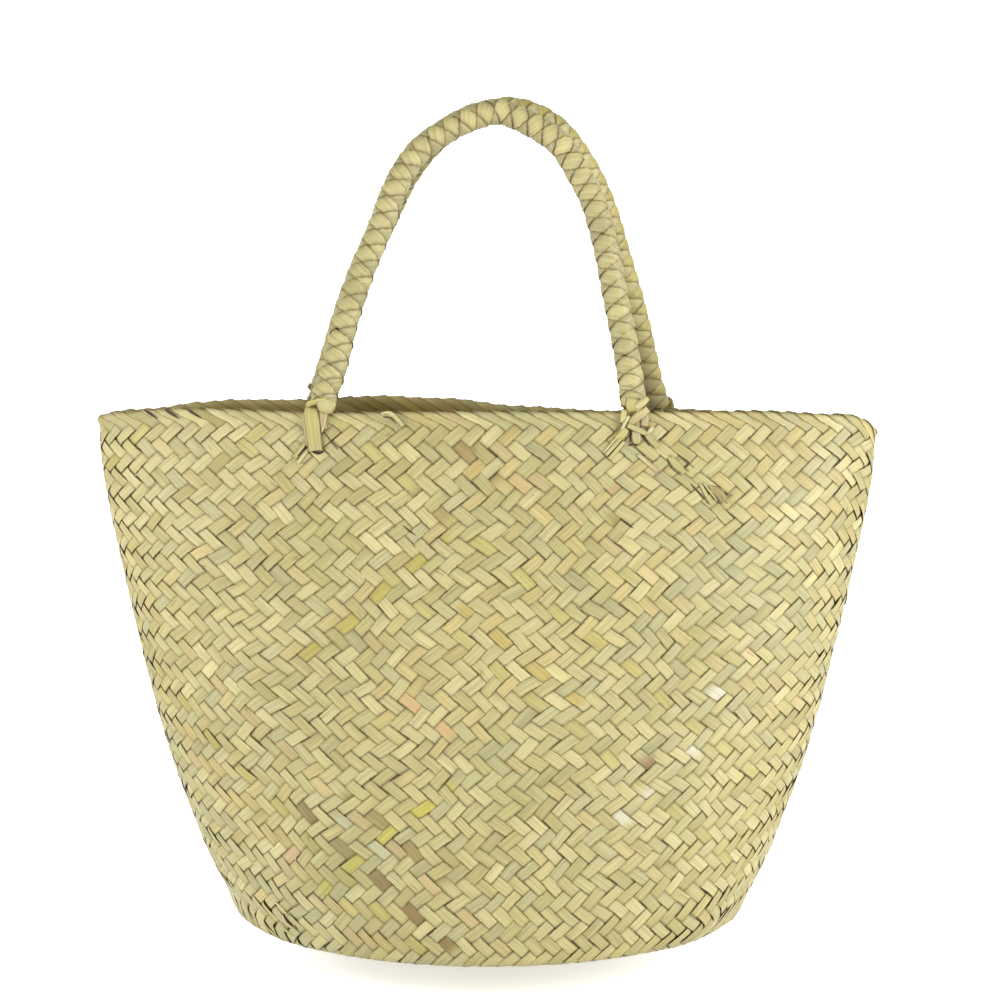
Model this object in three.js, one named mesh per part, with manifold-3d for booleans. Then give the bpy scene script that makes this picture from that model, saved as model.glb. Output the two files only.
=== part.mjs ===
// A straw basket bag: a plaited basket with a flat oval base, a flattened oval mouth with a folded border,
// and two round plaited handles whose strip ends are tucked through the wall at four feet.
// Millimetres, +Z up. The front faces -Y, and +X is to the right as seen from the front.
// The origin is the middle of the flat base, on the surface that the bag stands on.
import * as THREE from "three";
import { LoftGeometry } from "three/addons/geometries/LoftGeometry.js";
import { mergeVertices } from "three/addons/utils/BufferGeometryUtils.js";
import Module from "manifold-3d";

const wasm = await Module();
wasm.setup();

// Sizes of the basket, in millimetres.
const rimHeight = 310;
const mouthWidth = 467;
const mouthDepth = 124;
const baseWidth = 318;
const baseDepth = 252;
const wallThickness = 2;
const floorDome = 0.5;

// The base turns up into the wall higher at its two ends than along the front and the back.
const leftTurnHeight = 27;
const rightTurnHeight = 23;
const sideTurnHeight = 3;
const rimWave = 10;
const cornerPuff = 5;
const wallDent = 4;

// The folded border that sits on the top edge of the wall.
const borderHeight = 7;
const borderThickness = 4.4;

// The handles: round plaits of flat strips over a core.
const handleThickness = 16;
const frontHandleRise = 173;
const backHandleRise = 178;
const frontHandleLean = 36;
const backHandleLean = 47;
const plaitRepeat = 24;
const plaitRelief = 0.8;

// The feet: each plait stands on bridges of strip that are bent over the border and run down both faces of the wall.
// A drop is measured down the wall from the border's lower edge. Strips of one foot sink into each other by stripSink.
// The tilt and lean of the crossed strips are in degrees, and their crossing lies below the border's lower edge.
const stripThickness = 1.4;
const innerDrop = 14;
const tongueWidth = 8;
const tongueDrop = 15;
const tabWidth = 8.5;
const tabDrop = 2;
const knotWidth = 9;
const knotDrop = 13;
const crossWidth = 5.5;
const crossLength = 21;
const crossTilt = 42;
const crossLean = 8;
const crossBelow = 1.5;
const stripSink = 0.3;

// The clearance between pieces that touch on the real bag.
const seatGap = 0.3;

// How finely the round forms are divided.
const wallColumns = 72;
const borderColumns = 96;
const plaitSides = 12;
const plaitStep = 6;
const faceSteps = 4;

// The wall from the turn of the base (height 0) to its top edge (height 1).
// spread runs from the base's width (0) to the mouth's (1), belly from the mouth's depth (0) to the base's (1),
// and squareness is the power of the oval: 2 is an ellipse, less is pointed at the sides, more is squarer.
const wallSections = [
  { height: 0, spread: 0, belly: 0.98, squareness: 1.98 },
  { height: 0.06, spread: 0.12, belly: 1, squareness: 2 },
  { height: 0.12, spread: 0.215, belly: 0.95, squareness: 2.02 },
  { height: 0.2, spread: 0.33, belly: 0.87, squareness: 2.04 },
  { height: 0.32, spread: 0.48, belly: 0.77, squareness: 2.05 },
  { height: 0.45, spread: 0.61, belly: 0.68, squareness: 2.04 },
  { height: 0.58, spread: 0.725, belly: 0.58, squareness: 2.03 },
  { height: 0.71, spread: 0.832, belly: 0.44, squareness: 2 },
  { height: 0.84, spread: 0.932, belly: 0.27, squareness: 1.97 },
  { height: 0.93, spread: 0.985, belly: 0.13, squareness: 1.95 },
  { height: 1, spread: 1, belly: 0, squareness: 1.93 },
];

// The underside from the flat part of the base out to the turn.
// reach is the share of the turn's outline, and lift the share of the turn's height.
const baseSections = [
  { reach: 0.74, lift: 0 },
  { reach: 0.86, lift: 0.07 },
  { reach: 0.93, lift: 0.25 },
  { reach: 0.975, lift: 0.56 },
];

// The middle of the floor inside, which is domed a little.
const floorMiddle = { reach: 0.3, lift: 0 };

// The top edge waves: rise is a share of rimWave, and turn is in degrees from the right side round by the back.
const rimWaves = [
  { turn: 0, rise: -0.85 },
  { turn: 25, rise: -0.42 },
  { turn: 45, rise: -0.1 },
  { turn: 60, rise: 0.05 },
  { turn: 72, rise: -0.1 },
  { turn: 84, rise: 0.15 },
  { turn: 97, rise: 0.65 },
  { turn: 108, rise: 0.82 },
  { turn: 122, rise: 0.62 },
  { turn: 132, rise: 0.68 },
  { turn: 140, rise: 0.55 },
  { turn: 152, rise: 0.25 },
  { turn: 180, rise: 0 },
  { turn: 205, rise: 0.15 },
  { turn: 230, rise: 0.55 },
  { turn: 270, rise: 0.68 },
  { turn: 310, rise: 0.6 },
  { turn: 335, rise: 0.25 },
  { turn: 360, rise: -0.85 },
];

// Soft swellings and dents of the wall. push is a share of cornerPuff or wallDent, outwards where it is positive,
// turnReach is in degrees and heightReach is a share of the wall's height.
const cornerPuffs = [
  { turn: 223, height: 0.05, push: 0.3, turnReach: 9, heightReach: 0.06 },
  { turn: 318, height: 0.03, push: 1.2, turnReach: 9, heightReach: 0.06 },
  { turn: 42, height: 0.05, push: 0.7, turnReach: 9, heightReach: 0.06 },
  { turn: 138, height: 0.05, push: 0.8, turnReach: 9, heightReach: 0.06 },
];
const wallDents = [
  { turn: 232, height: 0.26, push: -0.7, turnReach: 16, heightReach: 0.16 },
  { turn: 300, height: 0.42, push: -0.6, turnReach: 20, heightReach: 0.2 },
  { turn: 268, height: 0.8, push: -0.5, turnReach: 24, heightReach: 0.14 },
  { turn: 70, height: 0.5, push: -0.9, turnReach: 22, heightReach: 0.2 },
  { turn: 125, height: 0.72, push: -0.6, turnReach: 18, heightReach: 0.15 },
];

// The centre line of each handle, from its left foot to its right foot.
// across runs from the left foot (0) to the right foot (1), and rise from the feet (0) to the top (1).
const frontHandleLine = [
  { across: 0.01, rise: 0.05 },
  { across: 0.036, rise: 0.13 },
  { across: 0.074, rise: 0.29 },
  { across: 0.125, rise: 0.455 },
  { across: 0.189, rise: 0.62 },
  { across: 0.216, rise: 0.7 },
  { across: 0.256, rise: 0.79 },
  { across: 0.308, rise: 0.866 },
  { across: 0.352, rise: 0.905 },
  { across: 0.457, rise: 0.968 },
  { across: 0.561, rise: 1 },
  { across: 0.613, rise: 0.988 },
  { across: 0.718, rise: 0.93 },
  { across: 0.774, rise: 0.882 },
  { across: 0.828, rise: 0.79 },
  { across: 0.872, rise: 0.7 },
  { across: 0.916, rise: 0.536 },
  { across: 0.945, rise: 0.375 },
  { across: 0.975, rise: 0.213 },
  { across: 0.998, rise: 0.05 },
];
const backHandleLine = [
  { across: 0.01, rise: 0.05 },
  { across: 0.038, rise: 0.15 },
  { across: 0.078, rise: 0.3 },
  { across: 0.13, rise: 0.46 },
  { across: 0.196, rise: 0.62 },
  { across: 0.262, rise: 0.775 },
  { across: 0.345, rise: 0.895 },
  { across: 0.44, rise: 0.968 },
  { across: 0.552, rise: 1 },
  { across: 0.612, rise: 0.99 },
  { across: 0.66, rise: 0.966 },
  { across: 0.708, rise: 0.925 },
  { across: 0.79, rise: 0.79 },
  { across: 0.838, rise: 0.665 },
  { across: 0.871, rise: 0.54 },
  { across: 0.905, rise: 0.415 },
  { across: 0.935, rise: 0.29 },
  { across: 0.978, rise: 0.08 },
];
// The handles lean in over the mouth as they rise, a little faster low down.
const leanPower = 0.9;

// Where the handles stand on the border: across is a share of half the mouth's width, and side is -1 at the front.
const footPlaces = {
  front_left: { across: -0.415, side: -1, knotted: false },
  front_right: { across: 0.365, side: -1, knotted: true },
  back_left: { across: -0.44, side: 1, knotted: true },
  back_right: { across: 0.452, side: 1, knotted: false },
};

// Sizes that follow from the ones above.
const wallTop = rimHeight - borderHeight - seatGap;
const fullTurn = Math.PI * 2;

const mix = (from, to, share) => from + (to - from) * share;
const degrees = (turn) => ((((turn / fullTurn) * 360) % 360) + 360) % 360;
const signedPower = (value, power) => Math.sign(value) * Math.abs(value) ** power;

// Reads one column of a table at a place between two rows, in a straight line or with eased ends.
function readTable(rows, key, place, column, eased = false) {
  let next = rows.findIndex((row) => row[key] >= place);
  if (next < 0) next = rows.length - 1;
  if (next === 0) return rows[0][column];
  const before = rows[next - 1];
  const after = rows[next];
  const share = Math.min(1, (place - before[key]) / (after[key] - before[key]));
  return mix(before[column], after[column], eased ? share * share * (3 - 2 * share) : share);
}

// The sum of the soft swellings or dents of a table at one place on the wall, each dying away as a bell curve.
function softPush(rows, turn, height) {
  let push = 0;
  for (const row of rows) {
    const away = Math.abs(((degrees(turn) - row.turn + 540) % 360) - 180);
    const near = (away / row.turnReach) ** 2 + ((height - row.height) / row.heightReach) ** 2;
    push += row.push * Math.exp(-near);
  }
  return push;
}

// Half the width and the depth of the basket's outer face, and its squareness, at one share of the wall's height.
function wallOutline(height) {
  return {
    halfWidth: mix(baseWidth, mouthWidth, readTable(wallSections, "height", height, "spread")) / 2,
    halfDepth: mix(mouthDepth, baseDepth, readTable(wallSections, "height", height, "belly")) / 2,
    squareness: readTable(wallSections, "height", height, "squareness"),
  };
}

// The height at which the base turns up into the wall, which is highest at the two ends.
function turnHeight(turn) {
  const cosine = Math.cos(turn);
  return mix(sideTurnHeight, cosine < 0 ? leftTurnHeight : rightTurnHeight, Math.abs(cosine) ** 3);
}

// A point of the oval of an outline, with its outward direction in plan.
function ovalPoint(outline, turn, inset) {
  const cosine = Math.cos(turn);
  const sine = Math.sin(turn);
  const power = 2 / outline.squareness;
  const outward = new THREE.Vector3(
    signedPower(cosine, 2 - power) / outline.halfWidth,
    signedPower(sine, 2 - power) / outline.halfDepth,
    0,
  ).normalize();
  const point = new THREE.Vector3(
    outline.halfWidth * signedPower(cosine, power),
    outline.halfDepth * signedPower(sine, power),
    0,
  );
  return { point: point.addScaledVector(outward, -inset), outward };
}

// A point of the wall at a turn round the basket and a share of its height, set in from the outer face by inset.
function wallPoint(turn, height, inset) {
  const swell = cornerPuff * softPush(cornerPuffs, turn, height);
  const dent = wallDent * softPush(wallDents, turn, height);
  const { point } = ovalPoint(wallOutline(height), turn, inset - swell - dent);
  const wave = rimWave * readTable(rimWaves, "turn", degrees(turn), "rise", true);
  point.z = mix(turnHeight(turn), wallTop, height) + wave * height ** 3;
  return point;
}

// A point of the underside of the base, raised into the basket by inset.
function basePoint(turn, section, inset) {
  const outline = wallOutline(0);
  const swell = cornerPuff * softPush(cornerPuffs, turn, 0) * section.lift;
  const { point } = ovalPoint(outline, turn, -swell);
  const shrink = Math.max(0, 1 - inset / (outline.halfDepth * section.reach));
  point.multiplyScalar(section.reach * mix(1, shrink, section.lift));
  point.z = turnHeight(turn) * section.lift + inset;
  return point;
}

// One ring of points round the basket.
function ring(columns, pointAt) {
  return Array.from({ length: columns }, (_, column) => pointAt((column / columns) * fullTurn));
}

function material(color, roughness) {
  return new THREE.MeshStandardMaterial({ color, roughness, metalness: 0 });
}

const strawMaterial = material(0xc9bb84, 0.62);
const borderMaterial = material(0xbfae74, 0.64);
const handleMaterial = material(0xd2c690, 0.58);
const stripMaterial = material(0xd8cc96, 0.6);

function namedMesh(name, geometry, look) {
  const mesh = new THREE.Mesh(geometry, look);
  mesh.name = name;
  return mesh;
}

// The basket: one hollow plaited shell, from the flat base up the outer face and down the inner face to its floor.
function makeBasketBody() {
  const outer = wallSections.map((row) => ring(wallColumns, (turn) => wallPoint(turn, row.height, 0)));
  const inner = wallSections.map((row) => ring(wallColumns, (turn) => wallPoint(turn, row.height, wallThickness)));
  const under = baseSections.map((row) => ring(wallColumns, (turn) => basePoint(turn, row, 0)));
  const floor = baseSections.map((row) => ring(wallColumns, (turn) => basePoint(turn, row, wallThickness)));
  const middle = ring(wallColumns, (turn) => basePoint(turn, floorMiddle, wallThickness + floorDome));
  const sections = [...under, ...outer, ...inner.reverse(), ...floor.reverse(), middle];
  return namedMesh(
    "basket_body",
    new LoftGeometry(sections, { capStart: true, capEnd: true }),
    strawMaterial,
  );
}

// The middle of the wall's thickness at its top edge, with the directions outwards and along the border.
function rimFrame(turn) {
  const origin = wallPoint(turn, 1, wallThickness / 2);
  const { outward } = ovalPoint(wallOutline(1), turn, 0);
  const along = new THREE.Vector3(-outward.y, outward.x, 0);
  return { origin, outward, along };
}

// The border: a rounded band of folded strips, seated on the wall's top edge.
// out is a share of half the border's thickness, and up a share of its height.
const borderSection = [
  { out: 0.9, up: 0 },
  { out: -0.9, up: 0 },
  { out: -1, up: 0.45 },
  { out: -0.75, up: 0.85 },
  { out: 0, up: 1 },
  { out: 0.75, up: 0.85 },
  { out: 1, up: 0.45 },
];

function makeRimBorder() {
  const sections = ring(borderColumns, (turn) => {
    const frame = rimFrame(turn);
    return borderSection.map((corner) => {
      const point = frame.origin.clone();
      point.addScaledVector(frame.outward, (corner.out * borderThickness) / 2);
      point.z += seatGap + corner.up * borderHeight;
      return point;
    });
  });
  sections.push(sections[0]);
  return namedMesh("rim_border", new LoftGeometry(sections), borderMaterial);
}

// The turn round the mouth at which a foot stands.
function footTurn(place) {
  const { squareness } = wallOutline(1);
  const cosine = signedPower(place.across, squareness / 2);
  return place.side * Math.acos(cosine);
}

// A solid of manifold-3d from a closed three.js geometry, and back.
function solidOf(geometry) {
  const bare = new THREE.BufferGeometry().copy(geometry);
  bare.deleteAttribute("normal");
  bare.deleteAttribute("uv");
  const merged = mergeVertices(bare, 1e-4);
  return new wasm.Manifold(
    new wasm.Mesh({
      numProp: 3,
      vertProperties: new Float32Array(merged.attributes.position.array),
      triVerts: new Uint32Array(merged.index.array),
    }),
  );
}

function geometryOf(solid) {
  const mesh = solid.getMesh();
  const geometry = new THREE.BufferGeometry();
  geometry.setAttribute("position", new THREE.BufferAttribute(mesh.vertProperties, 3));
  geometry.setIndex(new THREE.BufferAttribute(mesh.triVerts, 1));
  geometry.computeVertexNormals();
  return geometry;
}

// The line of a strip down one face of the wall, from the border's lower edge: clear of the border, then along the wall.
// face is 1 on the outer face and -1 on the inner one.
function faceLine(turn, face, drop) {
  const frame = rimFrame(turn);
  const wallRun = wallTop - turnHeight(turn);
  const clearOfBorder = borderThickness / 2 + seatGap;
  return Array.from({ length: faceSteps + 1 }, (_, step) => {
    const height = 1 - (drop * step) / faceSteps / wallRun;
    const point = wallPoint(turn, height, face > 0 ? -seatGap : wallThickness + seatGap);
    const alongWall = point.clone().sub(frame.origin).dot(frame.outward);
    const out = face > 0 ? Math.max(clearOfBorder, alongWall) : mix(-clearOfBorder, alongWall, step / faceSteps);
    return { out, up: point.z - frame.origin.z };
  });
}

// A strip bent over the border, at an offset along it from the foot's middle.
function makeBridge(turn, offset, width, drop) {
  const frame = rimFrame(turn);
  const near = borderThickness / 2 + seatGap;
  const underside = borderHeight + 2 * seatGap;
  const station = (spot, face, rise) => ({
    near: spot,
    far: { out: spot.out + face * stripThickness, up: spot.up + rise * stripThickness },
  });
  const stations = [
    ...faceLine(turn, 1, drop).reverse().map((spot) => station(spot, 1, 0)),
    station({ out: near, up: underside }, 1, 1),
    station({ out: -near, up: underside }, -1, 1),
    ...faceLine(turn, -1, innerDrop).map((spot) => station(spot, -1, 0)),
  ];
  const place = (spot, along) => {
    const point = frame.origin.clone();
    point.addScaledVector(frame.along, along);
    point.addScaledVector(frame.outward, spot.out);
    point.z += spot.up;
    return point;
  };
  const from = offset - width / 2;
  const to = offset + width / 2;
  const sections = stations.map(({ near: inside, far }) => [
    place(inside, from),
    place(far, from),
    place(far, to),
    place(inside, to),
  ]);
  return new LoftGeometry(sections, { capStart: true, capEnd: true });
}

// One strip of the crossed knot, flat on the outside of the bridge, tilted in its plane and leaning in with the wall.
function makeCrossStrip(turn, tilt) {
  const frame = rimFrame(turn);
  const out = borderThickness / 2 + seatGap + 1.5 * stripThickness - stripSink;
  const up = new THREE.Vector3(0, 0, 1);
  const strip = new THREE.BoxGeometry(stripThickness, crossWidth, crossLength);
  strip.rotateX(THREE.MathUtils.degToRad(tilt));
  strip.rotateY(-THREE.MathUtils.degToRad(crossLean));
  strip.applyMatrix4(new THREE.Matrix4().makeBasis(frame.outward, frame.along, up));
  const middle = frame.origin.clone().addScaledVector(frame.outward, out);
  strip.translate(middle.x, middle.y, middle.z - crossBelow);
  return strip;
}

// A foot: the strips that bind the end of a handle to the wall, as one solid.
function makeFoot(key) {
  const place = footPlaces[key];
  const turn = footTurn(place);
  const strips = place.knotted
    ? [
      makeBridge(turn, 0, knotWidth, knotDrop),
      makeCrossStrip(turn, crossTilt),
      makeCrossStrip(turn, -crossTilt),
    ]
    : [
      makeBridge(turn, -tongueWidth / 2 + stripSink, tongueWidth, tongueDrop),
      makeBridge(turn, tabWidth / 2 - stripSink, tabWidth, tabDrop),
    ];
  const solid = strips.map(solidOf).reduce((joined, strip) => joined.add(strip));
  return namedMesh("foot_" + key, geometryOf(solid), stripMaterial);
}

// The middle of the seat on top of a foot.
function footSeat(place) {
  const { origin } = rimFrame(footTurn(place));
  origin.z += borderHeight + 3 * seatGap + stripThickness;
  return origin;
}

// A round plait along a centre line, with the low swellings of its crossing strips and a level face at each foot.
function makeHandle(name, line, leftPlace, rightPlace, rise, lean) {
  const left = footSeat(leftPlace);
  const right = footSeat(rightPlace);
  const points = line.map((row) => {
    const point = left.clone().lerp(right, row.across);
    point.y -= leftPlace.side * lean * row.rise ** leanPower;
    point.z += rise * row.rise;
    return point;
  });
  const curve = new THREE.CatmullRomCurve3([left, ...points, right], false, "centripetal");
  const length = curve.getLength();
  const steps = Math.round(length / plaitStep);
  const frames = curve.computeFrenetFrames(steps, false);
  const sections = Array.from({ length: steps + 1 }, (_, step) => {
    const share = step / steps;
    const middle = curve.getPointAt(share);
    const lay = ((share * length) / plaitRepeat) * fullTurn;
    const seat = step === 0 ? left.z : right.z;
    return ring(plaitSides, (angle) => {
      const swell = Math.cos(2 * angle + lay) * Math.cos(2 * angle - lay);
      const radius = handleThickness / 2 - (plaitRelief * (1 - swell)) / 2;
      const point = middle.clone();
      point.addScaledVector(frames.normals[step], radius * Math.cos(angle));
      point.addScaledVector(frames.binormals[step], radius * Math.sin(angle));
      const tangent = frames.tangents[step];
      const levelled = step === 0 || step === steps;
      return levelled ? point.addScaledVector(tangent, (seat - point.z) / tangent.z) : point;
    });
  });
  const geometry = new LoftGeometry(sections, { capStart: true, capEnd: true });
  return namedMesh(name, geometry, handleMaterial);
}

const bag = new THREE.Group();
bag.add(makeBasketBody());
bag.add(makeRimBorder());
for (const key of Object.keys(footPlaces)) bag.add(makeFoot(key));
bag.add(
  makeHandle(
    "handle_front", frontHandleLine, footPlaces.front_left, footPlaces.front_right, frontHandleRise, frontHandleLean,
  ),
);
bag.add(
  makeHandle(
    "handle_back", backHandleLine, footPlaces.back_left, footPlaces.back_right, backHandleRise, backHandleLean,
  ),
);

export default bag;
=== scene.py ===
# A straw basket bag, dressed in its real strips: a wall and base plaited two over, two under, a border of
# strip ends folded over the mouth, two round plaited handles, and the strips that tie them to the wall.
# All is worked out in millimetres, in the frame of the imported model, and put into the meshes in metres.
import math
import bmesh
import bpy
import numpy as np
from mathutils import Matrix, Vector


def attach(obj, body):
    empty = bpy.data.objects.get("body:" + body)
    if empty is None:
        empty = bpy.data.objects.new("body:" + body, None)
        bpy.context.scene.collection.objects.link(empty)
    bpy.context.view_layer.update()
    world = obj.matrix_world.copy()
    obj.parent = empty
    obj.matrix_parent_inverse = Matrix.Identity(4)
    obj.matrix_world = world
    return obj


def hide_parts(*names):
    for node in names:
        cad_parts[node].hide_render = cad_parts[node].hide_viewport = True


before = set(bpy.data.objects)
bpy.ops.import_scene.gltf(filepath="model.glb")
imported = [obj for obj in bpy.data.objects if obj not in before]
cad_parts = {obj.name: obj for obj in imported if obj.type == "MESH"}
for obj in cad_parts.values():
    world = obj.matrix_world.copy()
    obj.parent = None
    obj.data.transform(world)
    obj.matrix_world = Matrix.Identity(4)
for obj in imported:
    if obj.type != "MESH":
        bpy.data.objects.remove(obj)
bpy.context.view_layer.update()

MM = 0.001
FULL_TURN = 2 * math.pi
random = np.random.default_rng(27)

# Sizes of the basket, in millimetres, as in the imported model. MID_WALL is how deep the wall's middle lies.
MOUTH_WIDTH = 467
MOUTH_DEPTH = 124
BASE_WIDTH = 318
BASE_DEPTH = 252
WALL_TOP = 302.7
MID_WALL = 1.0
LEFT_TURN_HEIGHT = 27
RIGHT_TURN_HEIGHT = 23
SIDE_TURN_HEIGHT = 3
RIM_WAVE = 10
CORNER_PUFF = 5
WALL_DENT = 4

# The wall from the turn of the base (0) to its top edge (1): height, spread, belly, squareness.
WALL_ROWS = np.array([
    (0, 0, 0.98, 1.98),
    (0.06, 0.12, 1, 2),
    (0.12, 0.215, 0.95, 2.02),
    (0.2, 0.33, 0.87, 2.04),
    (0.32, 0.48, 0.77, 2.05),
    (0.45, 0.61, 0.68, 2.04),
    (0.58, 0.725, 0.58, 2.03),
    (0.71, 0.832, 0.44, 2),
    (0.84, 0.932, 0.27, 1.97),
    (0.93, 0.985, 0.13, 1.95),
    (1, 1, 0, 1.93),
])
# The underside: reach out from the middle, lift as a share of the turn's height.
BASE_ROWS = np.array([(0, 0), (0.5, 0), (0.74, 0), (0.86, 0.07), (0.93, 0.25), (0.975, 0.56), (1, 1)])
# The waves of the top edge: turn in degrees from the right side round by the back, rise.
RIM_ROWS = np.array([
    (0, -0.85), (25, -0.42), (45, -0.1), (60, 0.05), (72, -0.1), (84, 0.15), (97, 0.65), (108, 0.82),
    (122, 0.62), (132, 0.68), (140, 0.55), (152, 0.25), (180, 0), (203, 0.42), (212, 0.62), (224, 0.73),
    (245, 0.6), (270, 0.68), (310, 0.6), (335, 0.25), (360, -0.85),
])
# Soft swellings and dents: turn in degrees, height, push, and its reach both ways.
PUFF_ROWS = [
    (223, 0.05, 0.3, 9, 0.06), (318, 0.03, 1.2, 9, 0.06), (42, 0.05, 0.7, 9, 0.06), (138, 0.05, 0.8, 9, 0.06),
]
DENT_ROWS = [
    (232, 0.26, -0.7, 16, 0.16), (300, 0.42, -0.6, 20, 0.2), (268, 0.8, -0.5, 24, 0.14),
    (70, 0.5, -0.9, 22, 0.2), (125, 0.72, -0.6, 18, 0.15),
]

# The plaiting. The base is a mat of strips that run aslant, with MAT_LONG by MAT_SHORT crossings along its
# edges. Its strips turn up over these into the wall: ROUND of them run each way, and it is ROWS high.
MAT_LONG = 27
MAT_SHORT = 20
HALF_LONG, HALF_SHORT = MAT_LONG / 2, MAT_SHORT / 2
ROUND = 2 * (MAT_LONG + MAT_SHORT)
ROWS = 35
ROW_HEIGHT = WALL_TOP / ROWS
# The room of one strip round the mouth, and how high the middle of the mat lies over the floor.
STRIP_PITCH = 10.5
BASE_CLEARANCE = 1.7

# One strip in the weave: widths and sway as shares of the room for a strip, the rest in millimetres.
STRIP_FILL = 1.03
STRIP_WIDTHS = (0.93, 1.04)
WIDTH_STRAY = 0.045
STRIP_SWAY = 0.05
STRIP_THICKNESS = 0.5
STRIP_CROWN = 0.14
STRIP_LIFT = 0.58
LIFT_SPREAD = (0.86, 1.14)
STRIP_TILT = 0.2
FLOAT_ARCH = 0.14
# The places between two crossings where a strip passes from one side of the weave to the other.
PASSING_SPOTS = (0.24, 0.38, 0.5, 0.62, 0.76)

# Strips bunch up at the corners of the mat and, from a few rows up, at the two ends of the bag. How far that
# reaches, in strips, and how narrow, high and uneven they get.
PUCKER_REACH = 3.2
END_PUCKER = 0.7
END_REACH = 4.5
END_START = 3
PUCKER_NARROWS = 0.16
PUCKER_LIFTS = 0.35
PUCKER_TILTS = 0.3
PUCKER_WAVE = 2.1

# How the rows stray round the bag, as waves of times round, slope, start and size, and where that fades.
ROUND_WAVES = [(7, 0.21, 1.1, 0.11), (12, -0.34, 2.7, 0.09), (19, 0.47, 0.4, 0.06)]
ROW_WAVES = [(6, 0.3, 2.2, 0.1), (11, -0.24, 0.9, 0.1), (17, 0.4, 3.9, 0.07)]
WAVE_FADE = 5

# The fold of the border: the way of a strip from the wall's outer face over the top and down the inner face,
# as run along the section, out from the middle of the wall, and up from its top edge.
FOLD_ROWS = np.array([
    (-2.4, 0.7, -2.4), (0, 0, 0), (2.4, 0.35, 2.3), (4.8, 1.3, 4.5), (6.9, 1.3, 6.2), (8.6, 0, 6.75),
    (10.3, -1.3, 6.1), (12.4, -1.8, 4.1), (16.5, -1.95, 0), (21.5, -2.0, -5), (32, -2.05, -15.5),
])
# The rows at which folded strips take over from the wall, and at which the others end under them.
FOLD_START = 34.4
UPRIGHT_END = 34.8
# Places along the section: where a strip comes out from under the others, opens, goes over, and where painted
# shade darkens its part inside the bag.
FOLD_RISE_SPOTS = (-3.3, -2.7, -2.1, -1.5, -1)
FOLD_OPENING = 5
FOLD_OVER = 16
FOLD_INSIDE = 7
FOLD_INSIDE_SOFT = 6
FOLD_END = 14
FOLD_END_STRAY = 2.5
# The slant of a folded strip, its width, how it sits on the others, its shades, and the painted shade of its
# part tucked inside the bag.
FOLD_DRIFT = 0.5
FOLD_FILL = 1.25
FOLD_WIDTHS = (0.9, 1.08)
FOLD_TILT = 0.5
FOLD_TILTS = (0.7, 1.3)
FOLD_SINK = 0.25
FOLD_LIFT_STRAY = 0.08
FOLD_CROWN = 0.08
FOLD_SHADES = (0.92, 1.06)
FOLD_INSIDE_PAINTED_SHADE = np.array([[0.62, 0.55, 0.4]])


def mix(low, high, share):
    return low + (high - low) * share


def signed_power(value, power):
    return np.sign(value) * np.abs(value) ** power


def smooth_step(share):
    share = np.clip(share, 0, 1)
    return share * share * (3 - 2 * share)


def curve(start, leave, end, reach, share):
    """A smooth curve from a start to an end, with the slopes at which it leaves and reaches them."""
    square, cube = share**2, share**3
    return (start * (2 * cube - 3 * square + 1) + leave * (cube - 2 * square + share)
            + end * (3 * square - 2 * cube) + reach * (cube - square))


def smooth_rows(rows, place, column):
    """One column of a table of rows, read on a smooth curve through them."""
    places, values = rows[:, 0], rows[:, column]
    slopes = np.gradient(values, places)
    place = np.clip(place, places[0], places[-1])
    low = np.clip(np.searchsorted(places, place) - 1, 0, len(places) - 2)
    step = places[low + 1] - places[low]
    share = (place - places[low]) / step
    return curve(values[low], slopes[low] * step, values[low + 1], slopes[low + 1] * step, share)


def eased_rows(rows, place, column):
    """One column of a table of rows, eased from each row to the next."""
    places, values = rows[:, 0], rows[:, column]
    low = np.clip(np.searchsorted(places, place) - 1, 0, len(places) - 2)
    share = (place - places[low]) / (places[low + 1] - places[low])
    return mix(values[low], values[low + 1], smooth_step(share))


def soft_push(rows, turn, height):
    push = 0
    for at_turn, at_height, amount, turn_reach, height_reach in rows:
        away = (np.degrees(turn) - at_turn + 180) % 360 - 180
        distance = (away / turn_reach) ** 2 + ((height - at_height) / height_reach) ** 2
        push = push + amount * np.exp(-distance)
    return push


def turn_height(turn):
    cosine = np.cos(turn)
    high = np.where(cosine < 0, LEFT_TURN_HEIGHT, RIGHT_TURN_HEIGHT)
    return mix(SIDE_TURN_HEIGHT, high, np.abs(cosine) ** 3)


def oval(turn, height, inset):
    """A point of the basket's oval in plan at a share of the wall's height, set in from its outer face."""
    half_width = mix(BASE_WIDTH, MOUTH_WIDTH, smooth_rows(WALL_ROWS, height, 1)) / 2
    half_depth = mix(MOUTH_DEPTH, BASE_DEPTH, smooth_rows(WALL_ROWS, height, 2)) / 2
    power = 2 / smooth_rows(WALL_ROWS, height, 3)
    cosine, sine = np.cos(turn), np.sin(turn)
    out_x = signed_power(cosine, 2 - power) / half_width
    out_y = signed_power(sine, 2 - power) / half_depth
    length = np.hypot(out_x, out_y)
    out_x, out_y = out_x / length, out_y / length
    x = half_width * signed_power(cosine, power) - out_x * inset
    y = half_depth * signed_power(sine, power) - out_y * inset
    return x, y, out_x, out_y


def wall_point(turn, height, inset):
    """A point of the wall at a turn round the basket and a share of its height."""
    inset = inset - CORNER_PUFF * soft_push(PUFF_ROWS, turn, height)
    inset = inset - WALL_DENT * soft_push(DENT_ROWS, turn, height)
    x, y, _, _ = oval(turn, height, inset)
    wave = RIM_WAVE * eased_rows(RIM_ROWS, np.degrees(turn) % 360, 1)
    z = mix(turn_height(turn), WALL_TOP, height) + wave * height**3
    return np.stack([x, y, z], -1)


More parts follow.
